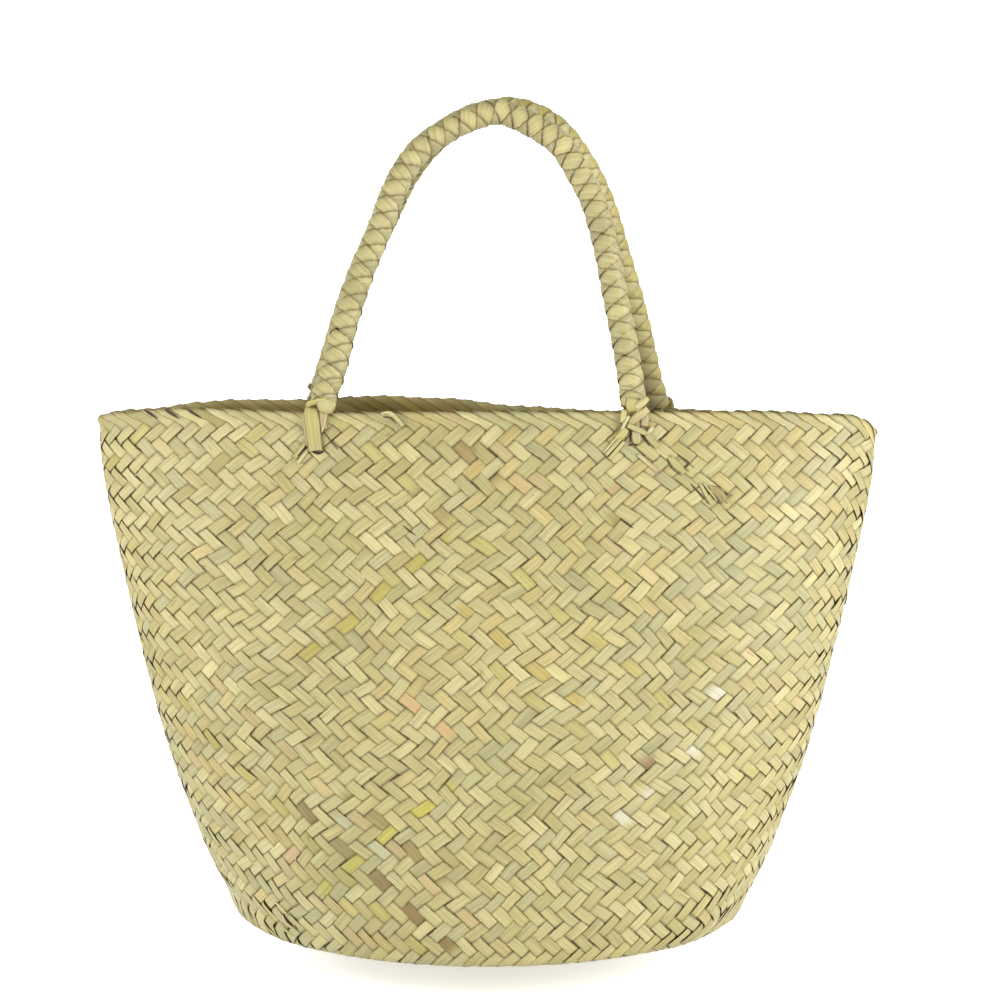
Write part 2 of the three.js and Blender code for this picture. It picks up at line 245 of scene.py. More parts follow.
def make_turn_table(heights=41, cells=8):
    """The turn at each strip number and height, with the strips evenly spaced round the outline."""
    turns = np.linspace(-0.25, 0.75, 1441) * FULL_TURN
    numbers = np.linspace(0, ROUND, ROUND * cells + 1)
    table = []
    for height in np.linspace(0, 1, heights):
        x, y, _, _ = oval(turns, np.full_like(turns, height), MID_WALL)
        around = np.concatenate([[0], np.cumsum(np.hypot(np.diff(x), np.diff(y)))])
        table.append(np.interp(numbers, around / around[-1] * ROUND, turns))
    return np.array(table)


TURN_TABLE = make_turn_table()
NUMBERS = np.linspace(0, ROUND, TURN_TABLE.shape[1])


def strip_turn(number, height):
    """The turn of a strip number, which counts from the middle of the front to the right and round."""
    last_height, last_number = TURN_TABLE.shape[0] - 1, TURN_TABLE.shape[1] - 1
    column = (number % ROUND) / ROUND * last_number
    row = np.clip(height, 0, 1) * last_height
    left = np.minimum(column.astype(int), last_number - 1)
    low = np.minimum(row.astype(int), last_height - 1)
    across, up = column - left, row - low
    lower = mix(TURN_TABLE[low, left], TURN_TABLE[low, left + 1], across)
    upper = mix(TURN_TABLE[low + 1, left], TURN_TABLE[low + 1, left + 1], across)
    return mix(lower, upper, up)


def waver(waves, number, row):
    """How far the hand let the plaiting stray, less near the base and near the border."""
    fade = smooth_step(row / WAVE_FADE) * smooth_step((ROWS - row) / WAVE_FADE)
    stray = sum(size * np.sin(number / ROUND * FULL_TURN * times + row * slope + start)
                for times, slope, start, size in waves)
    return fade * stray


def wall_surface(number, row, folding):
    """The middle of the wall, and above its top edge the way over the border, or upright inside it."""
    over = np.maximum(row - ROWS, 0) * ROW_HEIGHT
    number, row = number + waver(ROUND_WAVES, number, row), row + waver(ROW_WAVES, number, row)
    if folding:
        number = number - FOLD_DRIFT * over / STRIP_PITCH
        out = smooth_rows(FOLD_ROWS, over, 1)
        up = smooth_rows(FOLD_ROWS, over, 2)
    else:
        out = 0 * over
        up = over
    height = np.clip(row / ROWS, 0, 1) + np.minimum(up, 0) / WALL_TOP
    turn = strip_turn(number, height)
    point = wall_point(turn, height, MID_WALL)
    _, _, out_x, out_y = oval(turn, height, 0)
    point[..., 0] += out_x * out
    point[..., 1] += out_y * out
    point[..., 2] += np.maximum(up, 0)
    return point


def mat_number(u, v):
    """The strip number of a point on the mat's edge."""
    front, right = u - HALF_LONG, HALF_LONG + v
    back, left = HALF_LONG + MAT_SHORT + MAT_LONG - u, ROUND - HALF_LONG - v
    across, along = (u - HALF_LONG) / HALF_LONG, (v - HALF_SHORT) / HALF_SHORT
    on_long_edge = np.abs(along) >= np.abs(across)
    return np.where(on_long_edge, np.where(along < 0, front, back), np.where(across > 0, right, left))


def base_surface(u, v):
    """The base at a place of the mat: its edges lie on the turn of the wall."""
    reach = np.maximum(np.abs(u - HALF_LONG) / HALF_LONG, np.abs(v - HALF_SHORT) / HALF_SHORT)
    reach = np.clip(reach, 1e-6, 1)
    edge_u, edge_v = HALF_LONG + (u - HALF_LONG) / reach, HALF_SHORT + (v - HALF_SHORT) / reach
    turn = strip_turn(mat_number(edge_u, edge_v), 0 * u)
    lift = smooth_rows(BASE_ROWS, reach, 1)
    puff = CORNER_PUFF * soft_push(PUFF_ROWS, turn, 0 * u)
    x, y, _, _ = oval(turn, 0 * u, (MID_WALL - puff) * lift)
    z = turn_height(turn) * lift + BASE_CLEARANCE * (1 - lift)
    return np.stack([x * reach, y * reach, z], -1)


def wall_place(side, u, v):
    """The strip number and row of a place beyond one edge of the mat, where the wall is laid out flat."""
    if side == "front":
        return u - HALF_LONG, -v
    if side == "right":
        return HALF_LONG + v, u - MAT_LONG
    if side == "back":
        return HALF_LONG + MAT_SHORT + MAT_LONG - u, v - MAT_SHORT
    return ROUND - HALF_LONG - v, -u


def bag_surface(side, u, v, folding):
    number, row = wall_place(side, u, v)
    wall = wall_surface(number, np.maximum(row, 0), folding)
    base = base_surface(np.clip(u, 0, MAT_LONG), np.clip(v, 0, MAT_SHORT))
    return np.where((row >= 0)[..., None], wall, base)


def mat_place(rising, line, run):
    """A rising strip keeps the sum of its two mat places, and a falling one their difference."""
    if rising:
        return (line + run) / 2, (line - run) / 2
    return (run + line) / 2, (run - line) / 2


def strip_ends(rising, line):
    """The edge of the mat, and the run there, at the low and the high end of a strip."""
    if rising:
        low = ("left", -line) if line < MAT_SHORT else ("back", line - 2 * MAT_SHORT)
        high = ("front", line) if line < MAT_LONG else ("right", 2 * MAT_LONG - line)
        return low, high
    low = ("front", line) if line > 0 else ("left", -line)
    if line > MAT_LONG - MAT_SHORT:
        return low, ("right", 2 * MAT_LONG - line)
    return low, ("back", 2 * MAT_SHORT + line)


def leans_right(rising, side):
    """Whether a strip goes up to the right on that side of the wall, seen from outside."""
    return rising == (side in ("front", "back"))


def lies_outside(rising, side, line, run):
    """Whether a strip lies on the outer side at a crossing: two over, two under, in rows."""
    u, v = mat_place(rising, line, run)
    _, row = wall_place(side, u, v)
    if row > -0.1:
        return (round(2 * row) % 4 in (0, 1)) == leans_right(rising, side)
    return (round(2 * v) % 4 in (0, 3)) == rising


# Shades of the strips as they dried, with how many of a hundred strips have each.
DYES = [
    ((206, 195, 140), 34),
    ((215, 204, 152), 21),
    ((196, 185, 127), 19),
    ((193, 187, 140), 12),
    ((200, 187, 112), 4),
    ((207, 188, 128), 6),
    ((209, 187, 138), 2),
    ((184, 164, 108), 2),
]


def linear(color):
    """A colour of 0 to 255 as seen on a screen, as a linear colour."""
    share = np.array(color) / 255
    return np.where(share <= 0.04045, share / 12.92, ((share + 0.055) / 1.055) ** 2.4)


DYE_COLORS = np.array([linear(color) for color, _ in DYES])
DYE_SHARES = np.array([share for _, share in DYES]) / sum(share for _, share in DYES)

# Stained and bleached strips: whether rising, line, whether at its high end, from row, to row, colour.
STAINS = [
    (False, 12.5, False, 1, 10.5, (146, 122, 74)),
    (False, 16.5, False, 5.5, 11, (166, 147, 92)),
    (False, -0.5, False, 4, 12, (208, 196, 90)),
    (False, 14.5, False, 6, 9.5, (206, 204, 170)),
    (False, 26.5, False, 15, 18.5, (220, 184, 134)),
    (False, -16.5, False, 19, 28, (194, 180, 96)),
    (False, -19.5, False, 31, 35, (202, 180, 118)),
    (True, 46.5, True, 30, 32.5, (214, 186, 132)),
    (True, 35.5, True, 17, 23.5, (202, 180, 108)),
    (True, 40.5, True, 29, 31, (176, 158, 104)),
    (True, 45.5, True, 31.5, 34, (172, 150, 98)),
    (True, 43.5, True, 16.2, 17.4, (238, 233, 212)),
    (True, 38.5, True, 13.2, 14.4, (240, 236, 216)),
    (True, 30.5, True, 9.1, 10.1, (234, 228, 202)),
    (True, 33.5, True, 10.2, 11.2, (230, 225, 204)),
    (True, 35.5, True, 12.3, 13.3, (150, 116, 78)),
    (False, 2.5, True, 30.1, 31.1, (194, 158, 112)),
    (False, 4.5, True, 28.3, 29.3, (166, 155, 92)),
    (False, -4.5, False, 5.4, 6.8, (220, 184, 144)),
]
# How softly a stain ends, in rows, and how well it covers.
STAIN_EDGE = 0.3
STAIN_SHARE = 0.9
# Painted shade: how dark a strip is painted where it dives under another, as a share of its colour in the
# open.
PAINTED_DIVE_SHADE = 0.5
# How far a strip's shade wanders towards another, and how much it flickers.
DYE_WANDER = 0.45
DYE_FLICKER = 0.07


def dye(count):
    """The colour of one strip along its length: one shade that wanders a little towards another."""
    first, second = random.choice(len(DYES), 2, p=DYE_SHARES)
    along = np.linspace(0, 1, count)
    towards = np.interp(along, np.linspace(0, 1, 7), random.uniform(0, DYE_WANDER, 7))
    shade = 1 + DYE_FLICKER * np.interp(along, np.linspace(0, 1, 60), random.normal(0, 1, 60))
    color = mix(DYE_COLORS[first], DYE_COLORS[second], towards[:, None])
    return np.clip(color * shade[:, None], 0.01, 0.95)


def stain(color, rising, line, run, low_run, high_run):
    """The colour of a strip with its marked stains laid over it."""
    for stained_rising, stained_line, at_high_end, low_row, high_row, mark in STAINS:
        if (stained_rising, stained_line) == (rising, line):
            row = (run - high_run) / 2 + ROWS if at_high_end else (low_run - run) / 2 + ROWS
            started = smooth_step((row - low_row + STAIN_EDGE) / (2 * STAIN_EDGE))
            ended = smooth_step((high_row - row + STAIN_EDGE) / (2 * STAIN_EDGE))
            color = mix(color, linear(mark), STAIN_SHARE * (started * ended)[:, None])
    return color


# The places across a strip that get a point, on its crowned top and on its flat underside, the run round its
# section to each of them, for the grain, and which of its long edges are sharp.
TOP_PLACES = np.array([-1, -0.55, 0, 0.55, 1])
BOTTOM_PLACES = np.array([0.93, -0.93])
STRIP_FACE = 6.5
UNDER_RUN = [STRIP_FACE + 0.7, 2 * STRIP_FACE + 0.4, 2 * STRIP_FACE + 1]
AROUND = np.concatenate([(TOP_PLACES + 1) / 2 * STRIP_FACE, UNDER_RUN])
SHARP_EDGES = [0, 4, 5, 6]
# How far off the surface is read to find its normal, and the length of grain that strips start in.
NORMAL_STEP = 0.02
GRAIN_LENGTH = 4000


def strip_grid(rising, line, side, run, fill, lift, tilt, sway, folding, across):
    """Points of the middle of one strip, with their outward normals: a row for each place along it."""
    hand = 1 if rising else -1
    offset = 0.5 * hand * fill[:, None] * across[None, :] + sway[:, None]
    steps = ((0, 0), (NORMAL_STEP, 0), (-NORMAL_STEP, 0), (0, NORMAL_STEP), (0, -NORMAL_STEP))
    places = [mat_place(rising, line + offset + a, run[:, None] + b + 0 * offset) for a, b in steps]
    middle, right, left, ahead, behind = [bag_surface(side, u, v, folding) for u, v in places]
    normal = np.cross(right - left, ahead - behind)
    normal /= np.linalg.norm(normal, axis=-1, keepdims=True) + 1e-12
    normal = hand * normal
    height = lift[:, None] + hand * tilt[:, None] * across[None, :]
    return middle + normal * height[..., None], normal


def strip_section(grid_at, thickness, crown):
    """The closed section of a strip at each place along it: a crowned top and a flat underside."""
    top, top_normal = grid_at(TOP_PLACES)
    bottom, bottom_normal = grid_at(BOTTOM_PLACES)
    rise = thickness / 2 + crown * (1 - TOP_PLACES**2)
    top = top + top_normal * rise[None, :, None]
    bottom = bottom - bottom_normal * thickness / 2
    return np.concatenate([top, bottom], 1)


def make_strip(points, color):
    """A closed strip: points, colours, and the length run along it, from a start of its own in the grain."""
    steps = np.linalg.norm(np.diff(points[:, 2], axis=0), axis=1)
    along = random.uniform(0, GRAIN_LENGTH) + np.concatenate([[0], np.cumsum(steps)])
    return {"points": points, "color": color, "along": along}


def strip_faces(rows, count):
    """The four-cornered faces round a closed strip, as numbers of its points."""
    low = np.arange(rows - 1)[:, None] * count + np.arange(count)[None, :]
    right = np.arange(rows - 1)[:, None] * count + ((np.arange(count) + 1) % count)[None, :]
    return np.stack([low, right, right + count, low + count], -1).reshape(-1, 4)


def corner_places(along, around):
    """The place on a flat map of each corner of those faces."""
    low, high = along[:-1, None] + 0 * around[None, :-1], along[1:, None] + 0 * around[None, :-1]
    near, far = around[None, :-1] + 0 * along[:-1, None], around[None, 1:] + 0 * along[:-1, None]
    return np.stack([low, near, low, far, high, far, high, near], -1).reshape(-1, 2)


def add_object(name, data):
    thing = bpy.data.objects.new(name, data)
    bpy.context.scene.collection.objects.link(thing)
    return thing


def make_strips_object(name, strips, look):
    """One object from many closed strips, with one map for the grain and one with a band for each strip."""
    count = len(AROUND) - 1
    sides, caps, start = [], [], 0
    maps = {"strip": ([], []), "OFBake": ([], [])}
    for index, strip in enumerate(strips):
        rows, along = len(strip["points"]), strip["along"]
        sides.append(start + strip_faces(rows, count))
        caps += [start + np.arange(count)[::-1], start + (rows - 1) * count + np.arange(count)]
        share = (along - along[0]) / (along[-1] - along[0])
        band = (index + 0.04 + 0.92 * (AROUND - AROUND[0]) / (AROUND[-1] - AROUND[0])) / len(strips)
        for map_name, run, around, cap_around in (
            ("strip", along, AROUND, np.linspace(0, 1, count)),
            ("OFBake", share, band, np.full(count, band[0])),
        ):
            on_sides, on_caps = maps[map_name]
            on_sides.append(corner_places(run, around))
            on_caps += [np.stack([np.full(count, run[end]), cap_around], -1) for end in (0, -1)]
        start += rows * count
    points = np.concatenate([strip["points"].reshape(-1, 3) for strip in strips])
    colors = [np.broadcast_to(strip["color"], strip["points"].shape).reshape(-1, 3) for strip in strips]
    sides, caps = np.concatenate(sides), np.array(caps)
    sizes = np.concatenate([np.full(len(sides), 4), np.full(len(caps), count)])
    mesh = bpy.data.meshes.new(name)
    mesh.vertices.add(len(points))
    mesh.vertices.foreach_set("co", (points * MM).astype(np.float32).reshape(-1))
    mesh.loops.add(sides.size + caps.size)
    mesh.loops.foreach_set("vertex_index", np.concatenate([sides.ravel(), caps.ravel()]).astype(np.int32))
    mesh.polygons.add(len(sizes))
    mesh.polygons.foreach_set("loop_start", (np.cumsum(sizes) - sizes).astype(np.int32))
    mesh.polygons.foreach_set("loop_total", sizes.astype(np.int32))
    mesh.update(calc_edges=True)
    for map_name, (on_sides, on_caps) in maps.items():
        layer = mesh.uv_layers.new(name=map_name)
        layer.data.foreach_set("uv", np.concatenate(on_sides + on_caps).astype(np.float32).reshape(-1))
    # The dye attribute holds each strip's dye and stains, together with painted shade where strips pass under
    # others, inside the border and in the dark gap strips.
    painted_shade_and_dye = mesh.color_attributes.new("dye", "FLOAT_COLOR", "POINT")
    rgba = np.concatenate([np.concatenate(colors), np.ones((len(points), 1))], 1)
    painted_shade_and_dye.data.foreach_set("color", rgba.astype(np.float32).reshape(-1))
    edges = np.zeros(len(mesh.edges) * 2, np.int32)
    mesh.edges.foreach_get("vertices", edges)
    first, second = edges.reshape(-1, 2).T % count
    sharp = (first == second) & np.isin(first, SHARP_EDGES)
    mesh.attributes.new("sharp_edge", "BOOLEAN", "EDGE").data.foreach_set("value", sharp)
    mesh.polygons.foreach_set("use_smooth", sizes == 4)
    mesh.materials.append(look)
    return add_object(name, mesh)


def wall_stations(rising, line):
    """Places along one strip of the bag, with its lift, tilt and sway, over and under the others. Then come
    the side and run of its low and its high end, and the run at which it turns from one to the other side."""
    (low_side, low_exit), (high_side, high_exit) = strip_ends(rising, line)
    low_run, high_run = low_exit - 2 * ROWS, high_exit + 2 * ROWS
    runs = np.arange(low_run, high_run + 0.5)
    middle = (low_exit + high_exit) / 2
    sides = [low_side if run < middle else high_side for run in runs]
    outside = np.array([lies_outside(rising, side, line, run) for side, run in zip(sides, runs)])
    level = np.where(outside, 1.0, -1.0) * STRIP_LIFT * random.uniform(*LIFT_SPREAD, len(runs))
    tilts = random.normal(0, STRIP_TILT, len(runs))
    same = outside[1:] == outside[:-1]
    tilts[1:][same] = tilts[:-1][same]
    places = []
    for index, run in enumerate(runs[:-1]):
        places += [(run + spot, index, spot) for spot in ([0.5] if same[index] else PASSING_SPOTS)]
    run, index, spot = np.array(places).T
    index = index.astype(int)
    passed = smooth_step((spot - PASSING_SPOTS[0]) / (PASSING_SPOTS[-1] - PASSING_SPOTS[0]))
    share = np.where(same[index], 0.5, passed)
    arch = np.where(same[index], np.sign(level[index]) * FLOAT_ARCH, 0)
    lift = mix(level[index], level[index + 1], share) + arch
    tilt = mix(tilts[index], tilts[index + 1], share)
    sway = np.interp(run, runs, random.normal(0, STRIP_SWAY, len(runs)))
    return run, lift, tilt, sway, (low_side, low_run), (high_side, high_run), middle


def pucker(rising, line, run, sides):
    """How much the strips bunch up: 1 at a corner of the mat, less up the two ends of the bag, 0 far off."""
    u, v = mat_place(rising, line, run)
    corners = [(corner_u, corner_v) for corner_u in (0, MAT_LONG) for corner_v in (0, MAT_SHORT)]
    away = [np.hypot(u - corner_u, v - corner_v) for corner_u, corner_v in corners]
    at_corner = np.exp(-((np.min(away, axis=0) / PUCKER_REACH) ** 2))
    numbers, rows = np.array([wall_place(*place) for place in zip(sides, u, v)]).T
    from_end = np.abs(np.abs((numbers + ROUND / 2) % ROUND - ROUND / 2) - ROUND / 4)
    at_end = END_PUCKER * np.exp(-((from_end / END_REACH) ** 2)) * smooth_step(rows / END_START)
    return np.maximum(at_corner, at_end)


# The colour of each strip of the wall at its low and its high end, for the folds of the border.
colors_at_ends = {}


def make_wall_strip(rising, line):
    """One strip of the wall and base, from the border down, under the base and up to the border again."""
    run, lift, tilt, sway, low, high, middle = wall_stations(rising, line)
    tops = [UPRIGHT_END if leans_right(rising, side) else FOLD_START for side, _ in (low, high)]
    start, end = low[1] - 2 * (tops[0] - ROWS), high[1] + 2 * (tops[1] - ROWS)
    keep = (run > start + 0.1) & (run < end - 0.1)
    places = np.concatenate([[start], run[keep], [end]])
    lift, tilt, sway = [np.interp(places, run, values) for values in (lift, tilt, sway)]
    run = places
    share = np.linspace(0, 1, len(run))
    narrowing = np.interp(share, np.linspace(0, 1, 30), random.normal(0, WIDTH_STRAY, 30))
    sides = np.where(run <= middle, low[0], high[0])
    bunched = pucker(rising, line, run, sides)
    fill = (STRIP_FILL * random.uniform(*STRIP_WIDTHS) + narrowing) * (1 - PUCKER_NARROWS * bunched)
    lift = lift * (1 + PUCKER_LIFTS * bunched)
    tilt = tilt + PUCKER_TILTS * bunched * np.sin(run * PUCKER_WAVE + line)
    halves = []
    for side, part in ((low[0], run <= middle), (high[0], run > middle)):
        values = [value[part] for value in (run, fill, lift, tilt, sway)]

        def grid_at(across):
            return strip_grid(rising, line, side, *values, False, across)

        halves.append(strip_section(grid_at, STRIP_THICKNESS, STRIP_CROWN))
    points = np.concatenate(halves)
    color = stain(dye(len(run)), rising, line, run, low[1], high[1])
    colors_at_ends[(rising, line)] = (color[0], color[-1])
    # Painted shade: the outer face darkens where the strip dives under the others, the inner face where it
    # comes out over them.
    inward = np.clip(0.5 - 0.5 * lift / STRIP_LIFT, 0, 1)[:, None]
    on_top = np.arange(points.shape[1]) < len(TOP_PLACES)
    shade = np.where(on_top, mix(1, PAINTED_DIVE_SHADE, inward), mix(PAINTED_DIVE_SHADE, 1, inward))
    return make_strip(points, color[:, None] * shade[..., None])


def make_fold(rising, line, at_high_end):
    """The end of one strip, laid aslant over the border and tucked down inside."""
    side, exit_run = strip_ends(rising, line)[at_high_end]
    way = 1 if at_high_end else -1
    start = (FOLD_START - ROWS) * ROW_HEIGHT
    tail = FOLD_OVER + np.linspace(0.2, 1, 4) * (FOLD_END + random.uniform(-FOLD_END_STRAY, FOLD_END_STRAY))
    over = np.concatenate([[start], FOLD_RISE_SPOTS, np.linspace(0, FOLD_OVER, FOLD_OVER + 1), tail])
    run = exit_run + way * 2 * (ROWS + over / ROW_HEIGHT)
    rise_start, rise_end = FOLD_RISE_SPOTS[0], FOLD_RISE_SPOTS[-1]
    risen = smooth_step((over - rise_start) / (rise_end - rise_start))
    opened = smooth_step((over - rise_end) / FOLD_OPENING)
    inside = smooth_step((over - FOLD_INSIDE) / FOLD_INSIDE_SOFT)
    lift = mix(-STRIP_LIFT, STRIP_LIFT, risen) - FOLD_SINK * opened + random.normal(0, FOLD_LIFT_STRAY)
    fill = mix(STRIP_FILL, FOLD_FILL * random.uniform(*FOLD_WIDTHS), opened)
    lean = FOLD_TILT * opened * (1 + 0.5 * inside) * random.uniform(*FOLD_TILTS)
    tilt = -lean if side in ("front", "right") else lean
    values = [value[::way] for value in (run, fill, lift, tilt, 0 * run)]

    def grid_at(across):
        return strip_grid(rising, line, side, *values, True, across)

    points = strip_section(grid_at, STRIP_THICKNESS, FOLD_CROWN)
    color = colors_at_ends[(rising, line)][at_high_end]
    # Painted shade: the part of the fold tucked down inside the bag is darkened and browned.
    color = color * random.uniform(*FOLD_SHADES) * mix(1, FOLD_INSIDE_PAINTED_SHADE, inside[::way, None])
    return make_strip(points, color[:, None])


# The handles: a round plait of four flat strips on a bent centre line, from the left foot to the right one.
HANDLE_RADIUS = 6.75
FRONT_HANDLE_RISE = 173
BACK_HANDLE_RISE = 178
FRONT_HANDLE_LEAN = 36
BACK_HANDLE_LEAN = 47
LEAN_POWER = 0.9
SEAT_HEIGHT = 9.3

# The plait: its strips' width as a share of the room they have, angles in radians, the rest in millimetres.
PLAIT_PITCH = 21
PLAIT_STEP = 0.2
PLAIT_FILL = 0.98
PLAIT_SWELL = 0.13
PLAIT_STRAY = 0.1
PLAIT_LIFT = 0.72
PLAIT_ROUNDING = 0.7
PLAIT_TILT = -0.34
PLAIT_TILT_STRAY = 0.1
PLAIT_TURN = (-0.44, 0.35)
PLAIT_THICKNESS = 0.55
PLAIT_CROWN = 0.12
# Painted shade: how dark a plait strip is painted where it dives under the others.
PLAIT_PAINTED_DIVE_SHADE = 0.5

# Where each foot stands: a share of half the mouth's width from the middle, and the side of the bag.
FEET = {
    "front_left": (-0.415, -1),
    "front_right": (0.365, -1),
    "back_left": (-0.44, 1),
    "back_right": (0.452, 1),
}
# The bow of each handle: a share of the way across from its left foot, a share of its rise.
FRONT_BOW = [
    (0.01, 0.05), (0.036, 0.13), (0.074, 0.29), (0.125, 0.455), (0.189, 0.62), (0.216, 0.7), (0.256, 0.79),
    (0.308, 0.866), (0.352, 0.905), (0.457, 0.968), (0.561, 1), (0.613, 0.988), (0.718, 0.93), (0.774, 0.882),
    (0.828, 0.79), (0.872, 0.7), (0.916, 0.536), (0.945, 0.375), (0.975, 0.213), (0.998, 0.05),
]
BACK_BOW = [
    (0.01, 0.05), (0.038, 0.15), (0.078, 0.3), (0.13, 0.46), (0.196, 0.62), (0.262, 0.775), (0.345, 0.895),
    (0.44, 0.968), (0.552, 1), (0.612, 0.99), (0.66, 0.966), (0.708, 0.925), (0.79, 0.79), (0.838, 0.665),
    (0.871, 0.54), (0.905, 0.415), (0.935, 0.29), (0.978, 0.08),
]


def foot_turn(key):
    across, side = FEET[key]
    squareness = WALL_ROWS[-1, 3]
    return side * math.acos(signed_power(across, squareness / 2))


def foot_seat(key):
    turn = np.array(foot_turn(key))
    return wall_point(turn, np.array(1.0), MID_WALL) + np.array([0, 0, SEAT_HEIGHT])


def smooth_line(points, steps=12):
    """A smooth line through points, with steps places between each two."""
    points = np.array(points)
    points = np.concatenate([[2 * points[0] - points[1]], points, [2 * points[-1] - points[-2]]])
    line = []
    for before, start, end, after in zip(points, points[1:], points[2:], points[3:]):
        gaps = [np.linalg.norm(b - a) ** 0.5 for a, b in ((before, start), (start, end), (end, after))]
        leave = (start - before) / gaps[0] - (end - before) / (gaps[0] + gaps[1]) + (end - start) / gaps[1]
        reach = (end - start) / gaps[1] - (after - start) / (gaps[1] + gaps[2]) + (after - end) / gaps[2]
        share = np.linspace(0, 1, steps, endpoint=False)[:, None]
        line.append(curve(start, leave * gaps[1], end, reach * gaps[1], share))
    return np.concatenate(line + [points[-2][None]])


def handle_line(bow, left_key, right_key, rise, lean):
    left, right = foot_seat(left_key), foot_seat(right_key)
    side = FEET[left_key][1]
    points = [left]
    for across, up in bow:
        point = mix(left, right, across)
        points.append(point + np.array([0, -side * lean * up**LEAN_POWER, rise * up]))
    return smooth_line(points + [right])


def make_frames(line):
    """The run along a line, and the two directions across it, which turn as little as they can."""
    run = np.concatenate([[0], np.cumsum(np.linalg.norm(np.diff(line, axis=0), axis=1))])
    ahead = np.gradient(line, axis=0)
    ahead /= np.linalg.norm(ahead, axis=1, keepdims=True)
    front = np.zeros_like(line)
    last = np.array([0, -1, 0])
    for index, direction in enumerate(ahead):
        last = last - direction * np.dot(last, direction)
        last = last / np.linalg.norm(last)
        front[index] = last
    return run, front, np.cross(ahead, front)


def make_plait_strip(line, frames, forward, start_number):
    """One of the four strips of a plait, over and under the two that cross it."""
    run, front, beside = frames
    length = run[-1]
    span = length * 4 / PLAIT_PITCH
    steps = np.arange(0, span + PLAIT_STEP / 2, PLAIT_STEP)
    running = steps + start_number if forward else start_number - steps
    over = np.cos(math.pi * (running - start_number))
    level = -over if forward else over
    knots = np.arange(0, span + 1)
    stray = np.interp(steps, knots, random.normal(0, PLAIT_STRAY, int(span) + 2)[: len(knots)])
    fill = (PLAIT_FILL + PLAIT_SWELL * level) * (1 + 0.5 * stray)
    tilt = PLAIT_TILT + random.normal(0, PLAIT_TILT_STRAY)

    def grid_at(across):
        still = start_number + 0.5 * fill[:, None] * across[None, :] + 0.4 * stray[:, None]
        moving = running[:, None] + 0 * still
        ahead, back = (moving, still) if forward else (still, moving)
        place = np.clip(PLAIT_PITCH * (ahead - back) / 4, 0, length)
        angle = math.pi * (ahead + back) / 2 + mix(*PLAIT_TURN, place / length)
        lift = PLAIT_LIFT * signed_power(level, PLAIT_ROUNDING) + 0.25 * stray
        radius = HANDLE_RADIUS + lift[:, None] + tilt * across[None, :] * np.maximum(level, 0)[:, None]
        centre, to_front, to_side = [
            np.stack([np.interp(place, run, values[:, axis]) for axis in range(3)], -1)
            for values in (line, front, beside)
        ]
        outward = np.cos(angle)[..., None] * to_front + np.sin(angle)[..., None] * to_side
        return centre + outward * radius[..., None], outward

    points = strip_section(grid_at, PLAIT_THICKNESS, PLAIT_CROWN)
    # Painted shade where the strip passes under the strips that cross it.
    hidden = np.clip(0.5 - 0.65 * level, 0, 1)
    color = dye(len(steps)) * mix(1, PLAIT_PAINTED_DIVE_SHADE, hidden)[:, None]
    return make_strip(points, color[:, None])


def make_plait(name, node, bow, left_key, right_key, rise, lean):
    line = handle_line(bow, left_key, right_key, rise, lean)
    frames = make_frames(line)
    strips = [
        make_plait_strip(line, frames, forward, start_number)
        for forward in (True, False) for start_number in (0, 1)
    ]
    finish_piece(make_strips_object(name, strips, plait_straw), "plait_straw", node)


# The feet: short strips that bind each end of a plait to the wall, as seen from outside the bag, with the
# colours of their first and last ends. Each row of a strip: along the border, up from the wall's top edge,
# out from the wall's middle, width.
PALE = (210, 200, 144)
STRAW = (198, 186, 128)
GREEN = (198, 188, 112)
GREY = (196, 189, 150)
PINK = (200, 176, 132)
BRIGHT = (224, 214, 168)
# Painted shadow: the colour of the thin dark strips laid where gaps and holes between strips lie in shadow.
PAINTED_SHADOW = (48, 33, 11)


def painted_gap_shadow(*rows):
    """Painted shadow of a gap between strips, as a thin dark strip."""
    return PAINTED_SHADOW, PAINTED_SHADOW, rows


